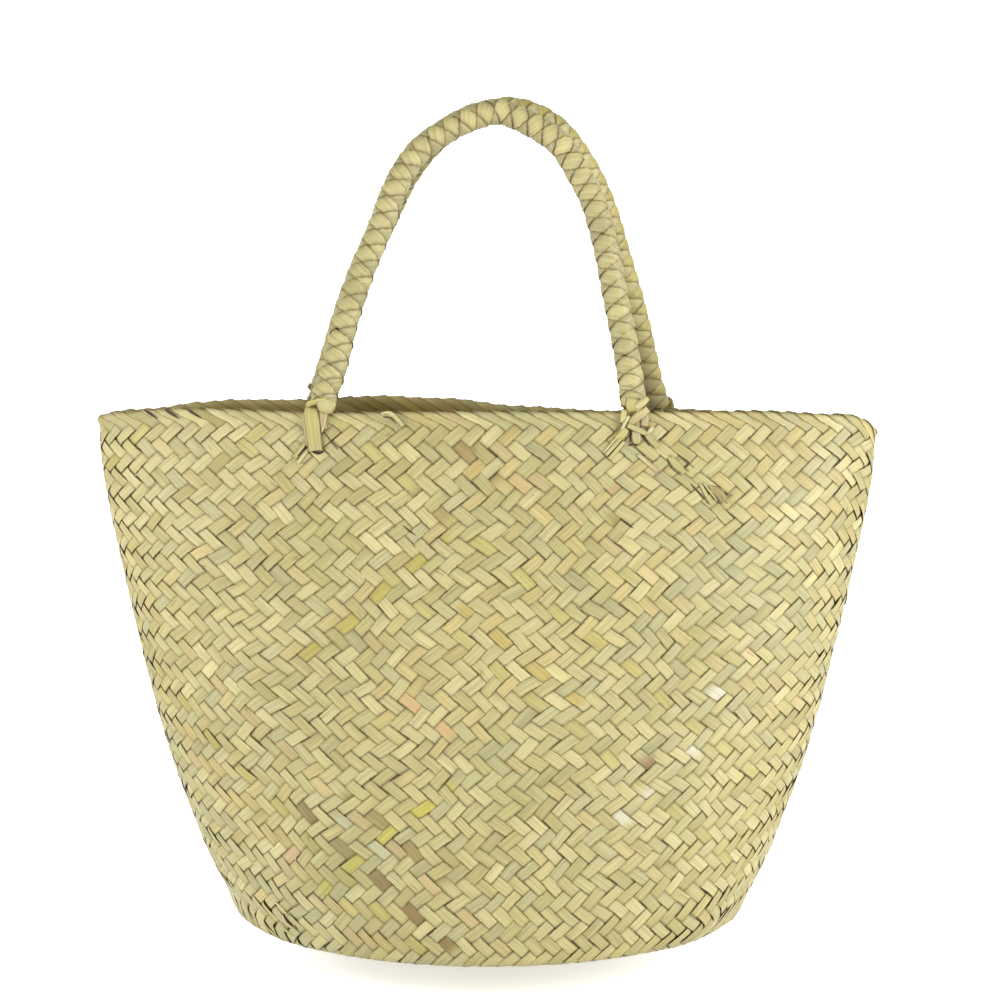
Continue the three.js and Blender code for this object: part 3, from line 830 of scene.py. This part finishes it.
STRAP = (STRAW, STRAW, [
    (0, -13, -2.4, 7), (0, -4, -2.6, 7.4), (0, 4, -3, 7.6), (0, 7.4, -2.2, 7.8), (0, 8.5, 0, 7.8),
    (0, 7.4, 2.2, 7.8), (0, 3, 3, 7.4), (0, -2, 2.4, 7),
])
TONGUE_STRIPS = [
    STRAP,
    (GREEN, STRAW, [
        (-5.5, 12, 1.5, 6.5), (-5.9, 9, 3.4, 7.6), (-5.6, 4, 3.7, 8.6), (-5.0, -0.5, 3.2, 8.8),
        (-4.2, -5.5, 2.5, 8.5), (-3.2, -10.2, 2.3, 8.4), (-2.4, -14.3, 2.4, 8.4),
    ]),
    (PALE, PINK, [(-9.7, 7, 2.6, 1.4), (-10, 1, 2.6, 1.5), (-8.8, -6, 2, 1.5), (-7.3, -12, 1.7, 1.3)]),
    (PALE, PALE, [
        (4.2, 15, 7.4, 11.4), (3.9, 12.8, 8.4, 11.6), (3.6, 10.4, 8.1, 10.8), (3.3, 8.2, 6.6, 8.5),
        (3.2, 7.2, 5, 6.5),
    ]),
    (STRAW, GREEN, [(-8, 10.5, 3.5, 2.6), (-6.4, 12.4, 6.2, 3.4), (-1.5, 14, 7.8, 3.6), (4, 15.2, 7.4, 3)]),
    (PINK, PINK, [(1.2, 8, 3.4, 4.6), (1.1, 2, 3.2, 3.4), (0.7, -3.8, 2.4, 0.9)]),
    (BRIGHT, PALE, [(3.4, 8, 3.9, 0.9), (2.2, 2, 3.7, 0.9), (0.6, -4, 3, 0.8)]),
    painted_gap_shadow((-4.8, -14.6, 1.5, 0.8), (-1.2, -15.6, 1.5, 1.8), (2.4, -14.6, 1.5, 0.8)),
    painted_gap_shadow((1.6, -4, 1.3, 0.4), (6, -9, 1.3, 0.7), (10.3, -13.4, 1.3, 0.3)),
    (STRAW, STRAW, [(-8.5, -10, 1.7, 2.2), (-14.5, -18.5, 1.6, 3)]),
    painted_gap_shadow((-7.9, -11.5, 1.6, 1), (-12.6, -17.6, 1.6, 0.6)),
    (PALE, BRIGHT, [(-6.5, -13, 1.75, 1.6), (-12.5, -21.5, 1.7, 2.2)]),
]
KNOT_STRIPS = [
    STRAP,
    (STRAW, GREEN, [(0, 15, 8, 11), (-0.6, 12, 8.4, 11), (-0.8, 9.4, 7.6, 9), (-0.6, 7.6, 5.6, 6.4)]),
    (PALE, STRAW, [(-0.2, 10.4, 8.7, 3.6), (3.6, 12.8, 8.9, 4.6), (7.4, 15.8, 7.7, 3)]),
    (PALE, PINK, [(7.4, 9.4, 6.8, 4.6), (4, 6.8, 6.6, 5.2), (0.6, 3.6, 5.2, 5), (-2.6, 0.6, 3.4, 4)]),
    (STRAW, PALE, [(-5.6, 9, 5.6, 3.4), (-6.3, 5.4, 4.8, 3.6), (-6.6, 1, 3, 3)]),
    (BRIGHT, GREY, [(-3.2, 5, 4.8, 1.8), (-5.2, 1, 3.9, 2), (-7.4, -3.4, 2.4, 2)]),
    (GREY, PINK, [(6.4, 6, 3.4, 4), (6.2, 2.4, 3.4, 5), (5.8, -1, 2.8, 4)]),
    (PALE, STRAW, [(-3.6, -0.4, 3.4, 3), (1, -2.4, 3.9, 3.2), (4.2, -3.8, 3.4, 3.2), (7, -5.2, 2.6, 2.6)]),
    (BRIGHT, PALE, [(7.2, -5.2, 2.4, 1.4), (10.2, -2.6, 2.4, 2.2), (11.4, -0.8, 2.2, 1)]),
    (GREY, STRAW, [(1, -3.8, 2.4, 4.6), (1.1, -6.4, 2.6, 5.2), (1.2, -9, 2.2, 5), (1.2, -10.6, 1.5, 3.6)]),
    (STRAW, STRAW, [(6.8, -4.6, 1.9, 3.4), (10, -8.6, 2, 4), (13.4, -12.4, 1.5, 3.6)]),
    (STRAW, GREEN, [(-4.4, -2.4, 2.2, 4), (-7.2, -5.4, 2.3, 5), (-10.4, -8.4, 1.8, 4.6)]),
    (STRAW, PALE, [(-7.6, -7.4, 2, 2.2), (-12.4, -12.2, 2.1, 2.4), (-17, -16.8, 1.7, 2)]),
    (PALE, STRAW, [(-6, -9.4, 1.8, 2), (-10.8, -14.4, 2, 2.2), (-15.2, -19, 1.6, 2)]),
    (BRIGHT, BRIGHT, [(-8.4, -5.8, 1.9, 1), (-13.4, -10.6, 2, 1.2), (-18.2, -15.6, 1.7, 1)]),
    painted_gap_shadow((-6.6, -8.6, 1.6, 0.4), (-11.4, -13.4, 1.6, 0.6), (-15.6, -17.6, 1.5, 0.3)),
    painted_gap_shadow((-2.2, -3.6, 1.6, 0.6), (-2.4, -9.6, 1.5, 1)),
    painted_gap_shadow((-3.4, -11.6, 1.5, 0.8), (-1.2, -10.8, 1.6, 1), (1.6, -11.8, 1.5, 0.6)),
    painted_gap_shadow((4.4, -5.4, 1.5, 0.6), (6.8, -9.2, 1.4, 0.9), (8.8, -12, 1.4, 0.4)),
    painted_gap_shadow((-6.2, 9.2, 5.2, 0.8), (-1.6, 8.4, 6.8, 0.9), (1, 7.8, 6.6, 0.6)),
    (BRIGHT, PINK, [(1.6, -16.5, 1.6, 2.2), (12.5, -26, 1.6, 2.6)]),
]
# The thickness of a short strip, and the rise of its middle as a share of its width, with a limit.
FOOT_THICKNESS = 0.36
FOOT_CROWN = 0.06
FOOT_CROWN_LIMIT = 0.3


def wall_number(turn):
    """The strip number at a turn of the wall's top edge."""
    return np.interp((turn + math.pi / 2) % FULL_TURN - math.pi / 2, TURN_TABLE[-1], NUMBERS)


def face_place(number, along, up, out):
    """A point by the wall, from places along it, up from its top edge and out from its middle."""
    height = 1 + min(up, 0) / WALL_TOP
    turn = strip_turn(np.array(number + along / STRIP_PITCH), np.array(height))
    point = wall_point(turn, np.array(height), MID_WALL)
    _, _, out_x, out_y = oval(turn, np.array(height), 0)
    return point + np.array([out_x * out, out_y * out, max(up, 0)]), np.array([out_x, out_y, 0])


def add_bent_strip(shape, number, first, last, rows):
    """One short strip, bent along its rows."""
    table = smooth_line(rows, 4)
    spine = [face_place(number, along, up, out) for along, up, out, _ in table]
    points = np.array([point for point, _ in spine])
    ahead = np.gradient(points, axis=0)
    ahead /= np.linalg.norm(ahead, axis=1, keepdims=True)
    beside = np.cross(ahead[0], spine[0][1])
    sides = []
    for direction in ahead:
        beside = beside - direction * np.dot(beside, direction)
        beside /= np.linalg.norm(beside)
        sides.append(beside)
    sheet = bmesh.ops.create_grid(shape, x_segments=len(points) - 1, y_segments=4, size=1)["verts"]
    places = np.linspace(0, 1, len(points))
    run = np.concatenate([[0], np.cumsum(np.linalg.norm(np.diff(points, axis=0), axis=1))])
    start = random.uniform(0, GRAIN_LENGTH)
    colors = mix(linear(first), linear(last), places[:, None]) * random.uniform(0.94, 1.06)
    for vert in sheet:
        share, across = (vert.co.x + 1) / 2, vert.co.y
        index = min(int(round(share * (len(points) - 1))), len(points) - 1)
        face_way = np.cross(sides[index], ahead[index])
        width = table[index][3]
        crown = min(FOOT_CROWN_LIMIT, FOOT_CROWN * width) * (1 - across**2)
        vert.co = (points[index] + sides[index] * across * width / 2 + face_way * crown) * MM
        vert[shape.verts.layers.float_color["dye"]] = (*colors[index], 1)
        for loop in vert.link_loops:
            loop[shape.loops.layers.uv["strip"]].uv = (start + run[index], (across + 1) / 2 * STRIP_FACE)


def shape_object(name, shape, look):
    mesh = bpy.data.meshes.new(name)
    shape.to_mesh(mesh)
    shape.free()
    mesh.shade_smooth()
    mesh.materials.append(look)
    return add_object(name, mesh)


def make_bent_strips(name, groups):
    """One object of short bent strips, from groups of them that each stand at a strip number and a height."""
    shape = bmesh.new()
    shape.verts.layers.float_color.new("dye")
    shape.loops.layers.uv.new("strip")
    for number, up, strips in groups:
        for first, last, rows in strips:
            raised = [(along, up + row_up, out, width) for along, row_up, out, width in rows]
            add_bent_strip(shape, number, first, last, raised)
    bmesh.ops.recalc_face_normals(shape, faces=shape.faces)
    piece = shape_object(name, shape, foot_straw)
    thicken = piece.modifiers.new("thickness", "SOLIDIFY")
    thicken.thickness = FOOT_THICKNESS * MM
    thicken.offset = 0
    return piece


def make_foot(key, strips):
    piece = make_bent_strips("foot_strips_" + key, [(wall_number(foot_turn(key)), 0, strips)])
    finish_piece(piece, "strip_straw", "foot_" + key)


# Torn and split places of the wall: along, up, out and width, from the middle of each.
# Their thin dark strips are painted shadow in the slits, holes and gaps.
RAGGED_TUCK = [
    painted_gap_shadow((-14, 6.4, 0.9, 0.5), (-9.5, 1.8, 1.1, 1.4), (-3, -5.4, 1, 0.5)),
    painted_gap_shadow((-5.4, 4.6, 1.1, 0.4), (0.4, -3.6, 1.1, 0.6)),
    ((176, 158, 108), (162, 136, 88), [(-3, 3.4, 1.2, 3), (2, 0.5, 1.5, 7), (6.4, -4.4, 1.2, 5)]),
    (PALE, STRAW, [(-8, 6, 1.3, 1.4), (-4.6, 0, 1.7, 2), (-1.4, -6, 1.3, 1.2)]),
    (BRIGHT, PALE, [(-6, 6.4, 1.4, 0.8), (-2, 1, 1.8, 0.9), (2, -4, 1.5, 0.5)]),
    (PINK, (150, 122, 78), [
        (-3.4, 4.6, 1.6, 0.7), (2.4, 2.8, 2, 0.7), (7.6, 1, 1.8, 0.6), (10.2, -2.5, 1.4, 0.4),
    ]),
    (PINK, STRAW, [(-1.6, 3.4, 1.6, 0.6), (3.6, 1.2, 2.1, 0.6), (6.6, -2, 1.9, 0.5), (6.2, -4.8, 1.5, 0.4)]),
    (STRAW, PINK, [(-2.4, 2.4, 1.7, 0.5), (2.4, -0.6, 2, 0.6), (4.4, -4.4, 1.6, 0.4)]),
    (PINK, (140, 112, 70), [(3.4, 2.6, 1.9, 0.5), (9, 0.2, 1.7, 0.5), (11.6, -1.6, 1.4, 0.3)]),
    (BRIGHT, PALE, [(8.6, -2.4, 1.5, 0.5), (12, -6.6, 1.3, 0.4)]),
    painted_gap_shadow((0.6, -2.2, 1.6, 0.4), (3, -5.6, 1.3, 0.4)),
    painted_gap_shadow((6, -3.4, 1.3, 0.4), (8.4, -6, 1.1, 0.3)),
]
SPLIT_CURL = [
    ((200, 195, 142), (188, 178, 122), [(-5.4, 5.2, 1.2, 2.4), (-1.6, 0.4, 1.7, 5), (3.4, -4.4, 1.2, 2.4)]),
    # Painted shadow: a dark crescent along the curl, fading into the gap shadow colour.
    ((80, 68, 34), PAINTED_SHADOW, [(-6.4, 3.8, 1, 0.4), (-4.6, -1, 1.2, 0.9), (1.2, -5.8, 1, 0.4)]),
    painted_gap_shadow((-4.8, 4.8, 1.6, 0.3), (1, -0.2, 1.95, 0.45), (5.8, -3.6, 1.1, 0.3)),
    painted_gap_shadow((0, 6, 1.05, 0.3), (4.6, 1.6, 1.1, 0.6), (9, -1.6, 1.05, 0.3)),
]
SPLIT_SLIT = [
    painted_gap_shadow((-3.8, 2.9, 1.05, 0.3), (0, 0, 1.1, 0.8), (3.6, -2.6, 1.05, 0.3)),
]
PUCKERED_HOLE = [
    painted_gap_shadow((-2.2, 2.6, 1.1, 0.5), (-1.4, 0, 1.2, 1.1), (0.4, -1.4, 1.1, 0.4)),
    painted_gap_shadow((3.2, -0.8, 1.2, 0.5), (4.4, -3, 1.2, 0.8)),
    (BRIGHT, PALE, [(-8, 10.6, 1.3, 1), (-3, 8.2, 1.7, 1.4), (0.6, 4.4, 1.4, 1)]),
    (PALE, STRAW, [(-4.4, 3.4, 1.4, 1), (-3.6, -0.6, 1.8, 1.8), (1, -3.6, 1.7, 1.6), (4.6, -4.6, 1.3, 1)]),
    (STRAW, GREEN, [(-9, -3, 1.3, 1.2), (-6.8, -7.4, 1.6, 1.8), (-1, -8.8, 1.3, 1)]),
]
RIM_STRAND = [
    (BRIGHT, PALE, [(-6.4, 6.4, 1.6, 1.4), (-1.4, 7.2, 2.5, 1.7), (2.6, 4, 3, 2), (6.4, -1, 2, 2.2)]),
    (PALE, STRAW, [(-5.2, 5.4, 1.7, 0.8), (-0.6, 5.6, 2.6, 1), (3.2, 1.6, 2.7, 1)]),
    # Painted shadow under the loose strand.
    painted_gap_shadow((-6, 4.6, 1.6, 0.4), (-1, 4, 2.3, 0.6), (2.4, 1, 2.4, 0.4)),
]
# Painted shadows: dark wedges between the folds at the border's top edge.
RIM_WEDGE = [
    painted_gap_shadow((-4, 7.2, 1.2, 0.5), (-1, 5.8, 2.5, 1.7), (2.5, 3.6, 2.7, 1.2), (5.5, 1.6, 2.4, 0.3)),
]


def finish_piece(piece, slot, *nodes):
    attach(piece, "root")
    if nodes:
        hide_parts(*nodes)


# Shader groups that the straws share.
def new_group(name, inputs, outputs):
    group = bpy.data.node_groups.new(name, "ShaderNodeTree")
    for socket_name, kind, value in inputs:
        socket = group.interface.new_socket(socket_name, in_out="INPUT", socket_type=kind)
        if value is not None:
            socket.default_value = value
    for socket_name, kind in outputs:
        group.interface.new_socket(socket_name, in_out="OUTPUT", socket_type=kind)
    return group, group.nodes.new("NodeGroupInput"), group.nodes.new("NodeGroupOutput")


def feed(tree, socket, value):
    """Puts a number or a colour into a socket, or links another node's output to it."""
    if isinstance(value, (int, float, tuple)):
        socket.default_value = value
    else:
        tree.links.new(value, socket)


def add_math(tree, operation, *values):
    node = tree.nodes.new("ShaderNodeMath")
    node.operation = operation
    for socket, value in zip(node.inputs, values):
        feed(tree, socket, value)
    return node.outputs[0]


def times(tree, first, second):
    return add_math(tree, "MULTIPLY", first, second)


def add_map(tree, value, from_low, from_high, to_low, to_high):
    node = tree.nodes.new("ShaderNodeMapRange")
    names = ("Value", "From Min", "From Max", "To Min", "To Max")
    for name, number in zip(names, (value, from_low, from_high, to_low, to_high)):
        feed(tree, node.inputs[name], number)
    return node.outputs["Result"]


def add_noise(tree, vector, scale, detail=2.0, roughness=0.5):
    node = tree.nodes.new("ShaderNodeTexNoise")
    for name, value in (("Vector", vector), ("Scale", scale), ("Detail", detail), ("Roughness", roughness)):
        feed(tree, node.inputs[name], value)
    return node.outputs["Fac"]


def add_combine(tree, x, y, z=0.0):
    node = tree.nodes.new("ShaderNodeCombineXYZ")
    for socket, value in zip(node.inputs, (x, y, z)):
        feed(tree, socket, value)
    return node.outputs[0]


def add_mix(tree, factor, first, second, blend="MIX"):
    node = tree.nodes.new("ShaderNodeMix")
    node.data_type = "RGBA"
    node.blend_type = blend
    for socket, value in ((0, factor), (6, first), (7, second)):
        feed(tree, node.inputs[socket], value)
    return node.outputs[2]


def make_fibre_group():
    """The fibres that run along a strip of palm leaf: soft and fine streaks, creases and rough edges."""
    group, start, end = new_group(
        "palm fibres",
        [("Place", "NodeSocketVector", None), ("Streak Width", "NodeSocketFloat", 0.5),
         ("Crease Share", "NodeSocketFloat", 0.3)],
        [("Streaks", "NodeSocketFloat"), ("Creases", "NodeSocketFloat"), ("Edges", "NodeSocketFloat"),
         ("Height", "NodeSocketFloat")],
    )
    split = group.nodes.new("ShaderNodeSeparateXYZ")
    group.links.new(start.outputs["Place"], split.inputs[0])
    along, across = split.outputs[0], split.outputs[1]

    def drawn_out(along_scale, across_place, apart=0.0, detail=0.0, roughness=0.5):
        place = add_combine(group, times(group, along, along_scale), across_place, apart)
        return add_noise(group, place, 1.0, detail, roughness)

    wide = add_math(group, "DIVIDE", across, start.outputs["Streak Width"])
    fine = drawn_out(0.045, wide, detail=3.0, roughness=0.6)
    soft = drawn_out(0.02, times(group, wide, 0.3), detail=1.0)
    streaks = add_math(group, "ADD", times(group, fine, 0.6), times(group, soft, 0.4))
    line = drawn_out(0.012, times(group, across, 0.42), 7.0)
    ridge = add_math(group, "ABSOLUTE", add_math(group, "SUBTRACT", line, 0.5))
    wanted = add_map(group, start.outputs["Crease Share"], 0, 1, 0.3, 0.7)
    shown = add_math(group, "LESS_THAN", drawn_out(0.03, 3.0, 11.0), wanted)
    creases = times(group, add_map(group, ridge, 0.0, 0.012, 1.0, 0.0), shown)
    ragged = add_map(group, drawn_out(0.35, 5.0, detail=1.0), 0.3, 0.7, -0.3, 0.3)
    # Edges: near both long edges of a strip, for the brown cut edge and for painted shade in the joints
    # between strips.
    edge = add_math(group, "MINIMUM", across, add_math(group, "SUBTRACT", STRIP_FACE, across))
    edge = add_math(group, "ADD", edge, ragged)
    group.links.new(streaks, end.inputs["Streaks"])
    group.links.new(creases, end.inputs["Creases"])
    group.links.new(add_map(group, edge, 0.2, 0.6, 1.0, 0.0), end.inputs["Edges"])
    group.links.new(add_math(group, "SUBTRACT", streaks, times(group, creases, 0.7)), end.inputs["Height"])
    return group


def make_age_group():
    """How straw ages: brownish specks, and faint green clouds over neighbouring strips."""
    group, start, end = new_group(
        "straw age",
        [("Color", "NodeSocketColor", None), ("Place", "NodeSocketVector", None),
         ("Ground", "NodeSocketVector", None), ("Specks", "NodeSocketFloat", 0.5)],
        [("Color", "NodeSocketColor")],
    )
    speck = add_noise(group, start.outputs["Place"], 1.6, 2.0, 0.6)
    speck = times(group, add_map(group, speck, 0.66, 0.74, 0.0, 0.6), start.outputs["Specks"])
    brown = add_mix(group, speck, start.outputs["Color"], (0.22, 0.13, 0.04, 1))
    cloud = add_noise(group, start.outputs["Ground"], 16.0, 2.0)
    green = add_mix(group, add_map(group, cloud, 0.5, 0.75, 0.0, 0.35), brown, (0.42, 0.42, 0.17, 1))
    group.links.new(green, end.inputs["Color"])
    return group


FIBRES = make_fibre_group()
AGE = make_age_group()
# The looks that all straws share.
STREAK_WIDTH = 0.36
CREASE_SHARE = 0.45
STREAK_DARK = 0.7
STREAK_LIGHT = 1.26
CREASE_COLOR = (0.1, 0.065, 0.02, 1)
# The colour of the strip edges: the brown cut edge, and painted shade in the joints between strips.
EDGE_AND_JOINT_SHADE_COLOR = (0.11, 0.075, 0.022, 1)


def add_group(tree, group, **values):
    node = tree.nodes.new("ShaderNodeGroup")
    node.node_tree = group
    for name, value in values.items():
        feed(tree, node.inputs[name.replace("_", " ")], value)
    return node


def make_straw(name, shade, edge_and_joint_shade_share, specks, roughness):
    """Palm strip: its dye, fibres along it, creases, specks, and a satin surface."""
    look = bpy.data.materials.new(name)
    look.use_nodes = True
    tree = look.node_tree
    shader = tree.nodes["Principled BSDF"]
    strip_map = tree.nodes.new("ShaderNodeUVMap")
    strip_map.uv_map = "strip"
    ground = tree.nodes.new("ShaderNodeTexCoord")
    # The dye attribute: the strips' own colours, with painted shade and painted shadow already in them.
    dye_and_painted_shade = tree.nodes.new("ShaderNodeAttribute")
    dye_and_painted_shade.attribute_name = "dye"
    fibres = add_group(tree, FIBRES, Place=strip_map.outputs[0], Streak_Width=STREAK_WIDTH,
                       Crease_Share=CREASE_SHARE)
    aged = add_group(tree, AGE, Color=dye_and_painted_shade.outputs["Color"], Place=strip_map.outputs[0],
                     Ground=ground.outputs["Object"], Specks=specks)
    streaks = fibres.outputs["Streaks"]
    streak = add_map(tree, streaks, 0.3, 0.7, STREAK_DARK * shade, STREAK_LIGHT * shade)
    golden = add_combine(tree, streak, streak, times(tree, streak, 0.92))
    streaked = add_mix(tree, 1.0, aged.outputs["Color"], golden, "MULTIPLY")
    creased = add_mix(tree, times(tree, fibres.outputs["Creases"], 0.55), streaked, CREASE_COLOR)
    # Darker strip edges: partly the strip's brown cut edge, partly painted shade in the joints.
    edged = add_mix(tree, times(tree, fibres.outputs["Edges"], edge_and_joint_shade_share), creased, EDGE_AND_JOINT_SHADE_COLOR)
    tree.links.new(edged, shader.inputs["Base Color"])
    satin = add_map(tree, streaks, 0.3, 0.7, roughness + 0.08, roughness - 0.08)
    tree.links.new(satin, shader.inputs["Roughness"])
    bump = tree.nodes.new("ShaderNodeBump")
    bump.inputs["Strength"].default_value = 0.5
    bump.inputs["Distance"].default_value = 0.00012
    tree.links.new(fibres.outputs["Height"], bump.inputs["Height"])
    tree.links.new(bump.outputs[0], shader.inputs["Normal"])
    shader.inputs["Specular IOR Level"].default_value = 0.25
    return look


wall_straw = make_straw("dried palm strip of the wall", 0.405, 0.82, 0.5, 0.55)
border_straw = make_straw("dried palm strip of the border", 0.395, 0.95, 0.5, 0.57)
foot_straw = make_straw("dried palm strip of the feet", 0.42, 0.7, 0.4, 0.55)
plait_straw = make_straw("dried palm strip of the handles", 0.395, 0.95, 0.4, 0.52)

# The woven strips of the wall and base, in six pieces.
RISING_LINES = np.arange(0.5, MAT_LONG + MAT_SHORT, 1)
FALLING_LINES = np.arange(0.5 - MAT_SHORT, MAT_LONG, 1)
for rising, lines, label in ((True, RISING_LINES, "rising"), (False, FALLING_LINES, "falling")):
    for part, chosen in enumerate(np.array_split(lines, 3)):
        strips = [make_wall_strip(rising, line) for line in chosen]
        piece = make_strips_object(f"woven_strips_{label}_{part + 1}", strips, wall_straw)
        finish_piece(piece, "woven_straw", "basket_body")

# The border: the ends of the strips that lean left, seen from outside, are the ones folded over it.
folds = []
for rising, lines in ((True, RISING_LINES), (False, FALLING_LINES)):
    for line in lines:
        for at_high_end, (side, _) in enumerate(strip_ends(rising, line)):
            if not leans_right(rising, side):
                folds.append(make_fold(rising, line, at_high_end))
finish_piece(make_strips_object("border_folds", folds, border_straw), "border_straw", "rim_border")

make_plait("front_handle_strips", "handle_front", FRONT_BOW, "front_left", "front_right",
           FRONT_HANDLE_RISE, FRONT_HANDLE_LEAN)
make_plait("back_handle_strips", "handle_back", BACK_BOW, "back_left", "back_right",
           BACK_HANDLE_RISE, BACK_HANDLE_LEAN)

# Where torn and loose strips lie: the strip number, and how far up from the wall's top edge.
TORN_PLACES = [
    (12.3, -39, RAGGED_TUCK), (10.4, -22.5, SPLIT_CURL), (7.5, -54.5, SPLIT_SLIT), (5.1, -103, SPLIT_SLIT),
    (-4.2, -58, SPLIT_SLIT), (-12.6, -293, PUCKERED_HOLE),
]
LOOSE_PLACES = [
    (74.9, 0, RIM_WEDGE), (76.2, 0, RIM_WEDGE), (77.5, 0, RIM_WEDGE),
    (wall_number(foot_turn("front_left")) + 3.9, 0, RIM_STRAND),
]
finish_piece(make_bent_strips("torn_strips", TORN_PLACES), "woven_straw", "basket_body")
finish_piece(make_bent_strips("loose_border_strands", LOOSE_PLACES), "border_straw", "rim_border")
make_foot("front_left", TONGUE_STRIPS)
make_foot("front_right", KNOT_STRIPS)
make_foot("back_left", KNOT_STRIPS)
make_foot("back_right", TONGUE_STRIPS)


# The floor, in metres: how far behind the middle of the bag, and how high. It sweeps up behind the bag.
SWEEP_ROWS = [(-6, 0), (1.2, 0), (2.2, 0.08), (3.0, 0.4), (3.5, 1.0), (3.7, 2.0), (3.7, 6)]
FLOOR_HALF_WIDTH = 8
FLOOR_SURFACE = {
    "Base Color": (0.93, 0.93, 0.93, 1),
    "Roughness": 0.9,
    "Specular IOR Level": 0.0,
    "Emission Color": (1, 1, 1, 1),
    "Emission Strength": 0.5,
}


def make_floor():
    """A pale sheet that lies flat under the bag and sweeps up behind it."""
    shape = bmesh.new()
    bmesh.ops.create_grid(shape, x_segments=1, y_segments=48, size=1)
    rows = np.array(smooth_line(SWEEP_ROWS, 8))
    for vert in shape.verts:
        index = int(round((vert.co.y + 1) / 2 * (len(rows) - 1)))
        vert.co = (vert.co.x * FLOOR_HALF_WIDTH, rows[index][0], rows[index][1])
    look = bpy.data.materials.new("pale studio floor")
    look.use_nodes = True
    for name, value in FLOOR_SURFACE.items():
        look.node_tree.nodes["Principled BSDF"].inputs[name].default_value = value
    floor = shape_object("floor", shape, look)


def aim_at(thing, place, aim):
    thing.location = place
    thing.rotation_euler = (Vector(aim) - Vector(place)).to_track_quat("-Z", "Y").to_euler()


def make_light(name, place, aim, size, power):
    lamp = bpy.data.lights.new(name, "AREA")
    lamp.shape = "RECTANGLE"
    lamp.size, lamp.size_y = size
    lamp.energy = power
    aim_at(add_object(name, lamp), place, aim)


CAMERA_PLACE = (0, -1.93, 0.445)
CAMERA_AIM = (0.0075, 0, 0.259)
CAMERA_FOCUS = 3.211
LIGHT_AIM = (0, 0, 0.2)


def make_camera():
    lens = bpy.data.cameras.new("camera")
    lens.sensor_width = 36
    lens.lens = CAMERA_FOCUS * lens.sensor_width
    camera = add_object("camera", lens)
    aim_at(camera, CAMERA_PLACE, CAMERA_AIM)
    bpy.context.scene.camera = camera


make_floor()
world = bpy.data.worlds.new("white studio")
world.use_nodes = True
world.node_tree.nodes["Background"].inputs["Color"].default_value = (1, 1, 1, 1)
world.node_tree.nodes["Background"].inputs["Strength"].default_value = 0.5
bpy.context.scene.world = world
make_light("front softbox", (-0.5, -2.4, 1.9), LIGHT_AIM, (1.6, 1.0), 37.5)
make_light("left softbox", (-1.7, -0.9, 0.6), LIGHT_AIM, (0.7, 1.2), 42)
make_light("right softbox", (1.7, -0.9, 0.6), LIGHT_AIM, (0.7, 1.2), 60)
bpy.context.scene.view_settings.view_transform = "Standard"
make_camera()
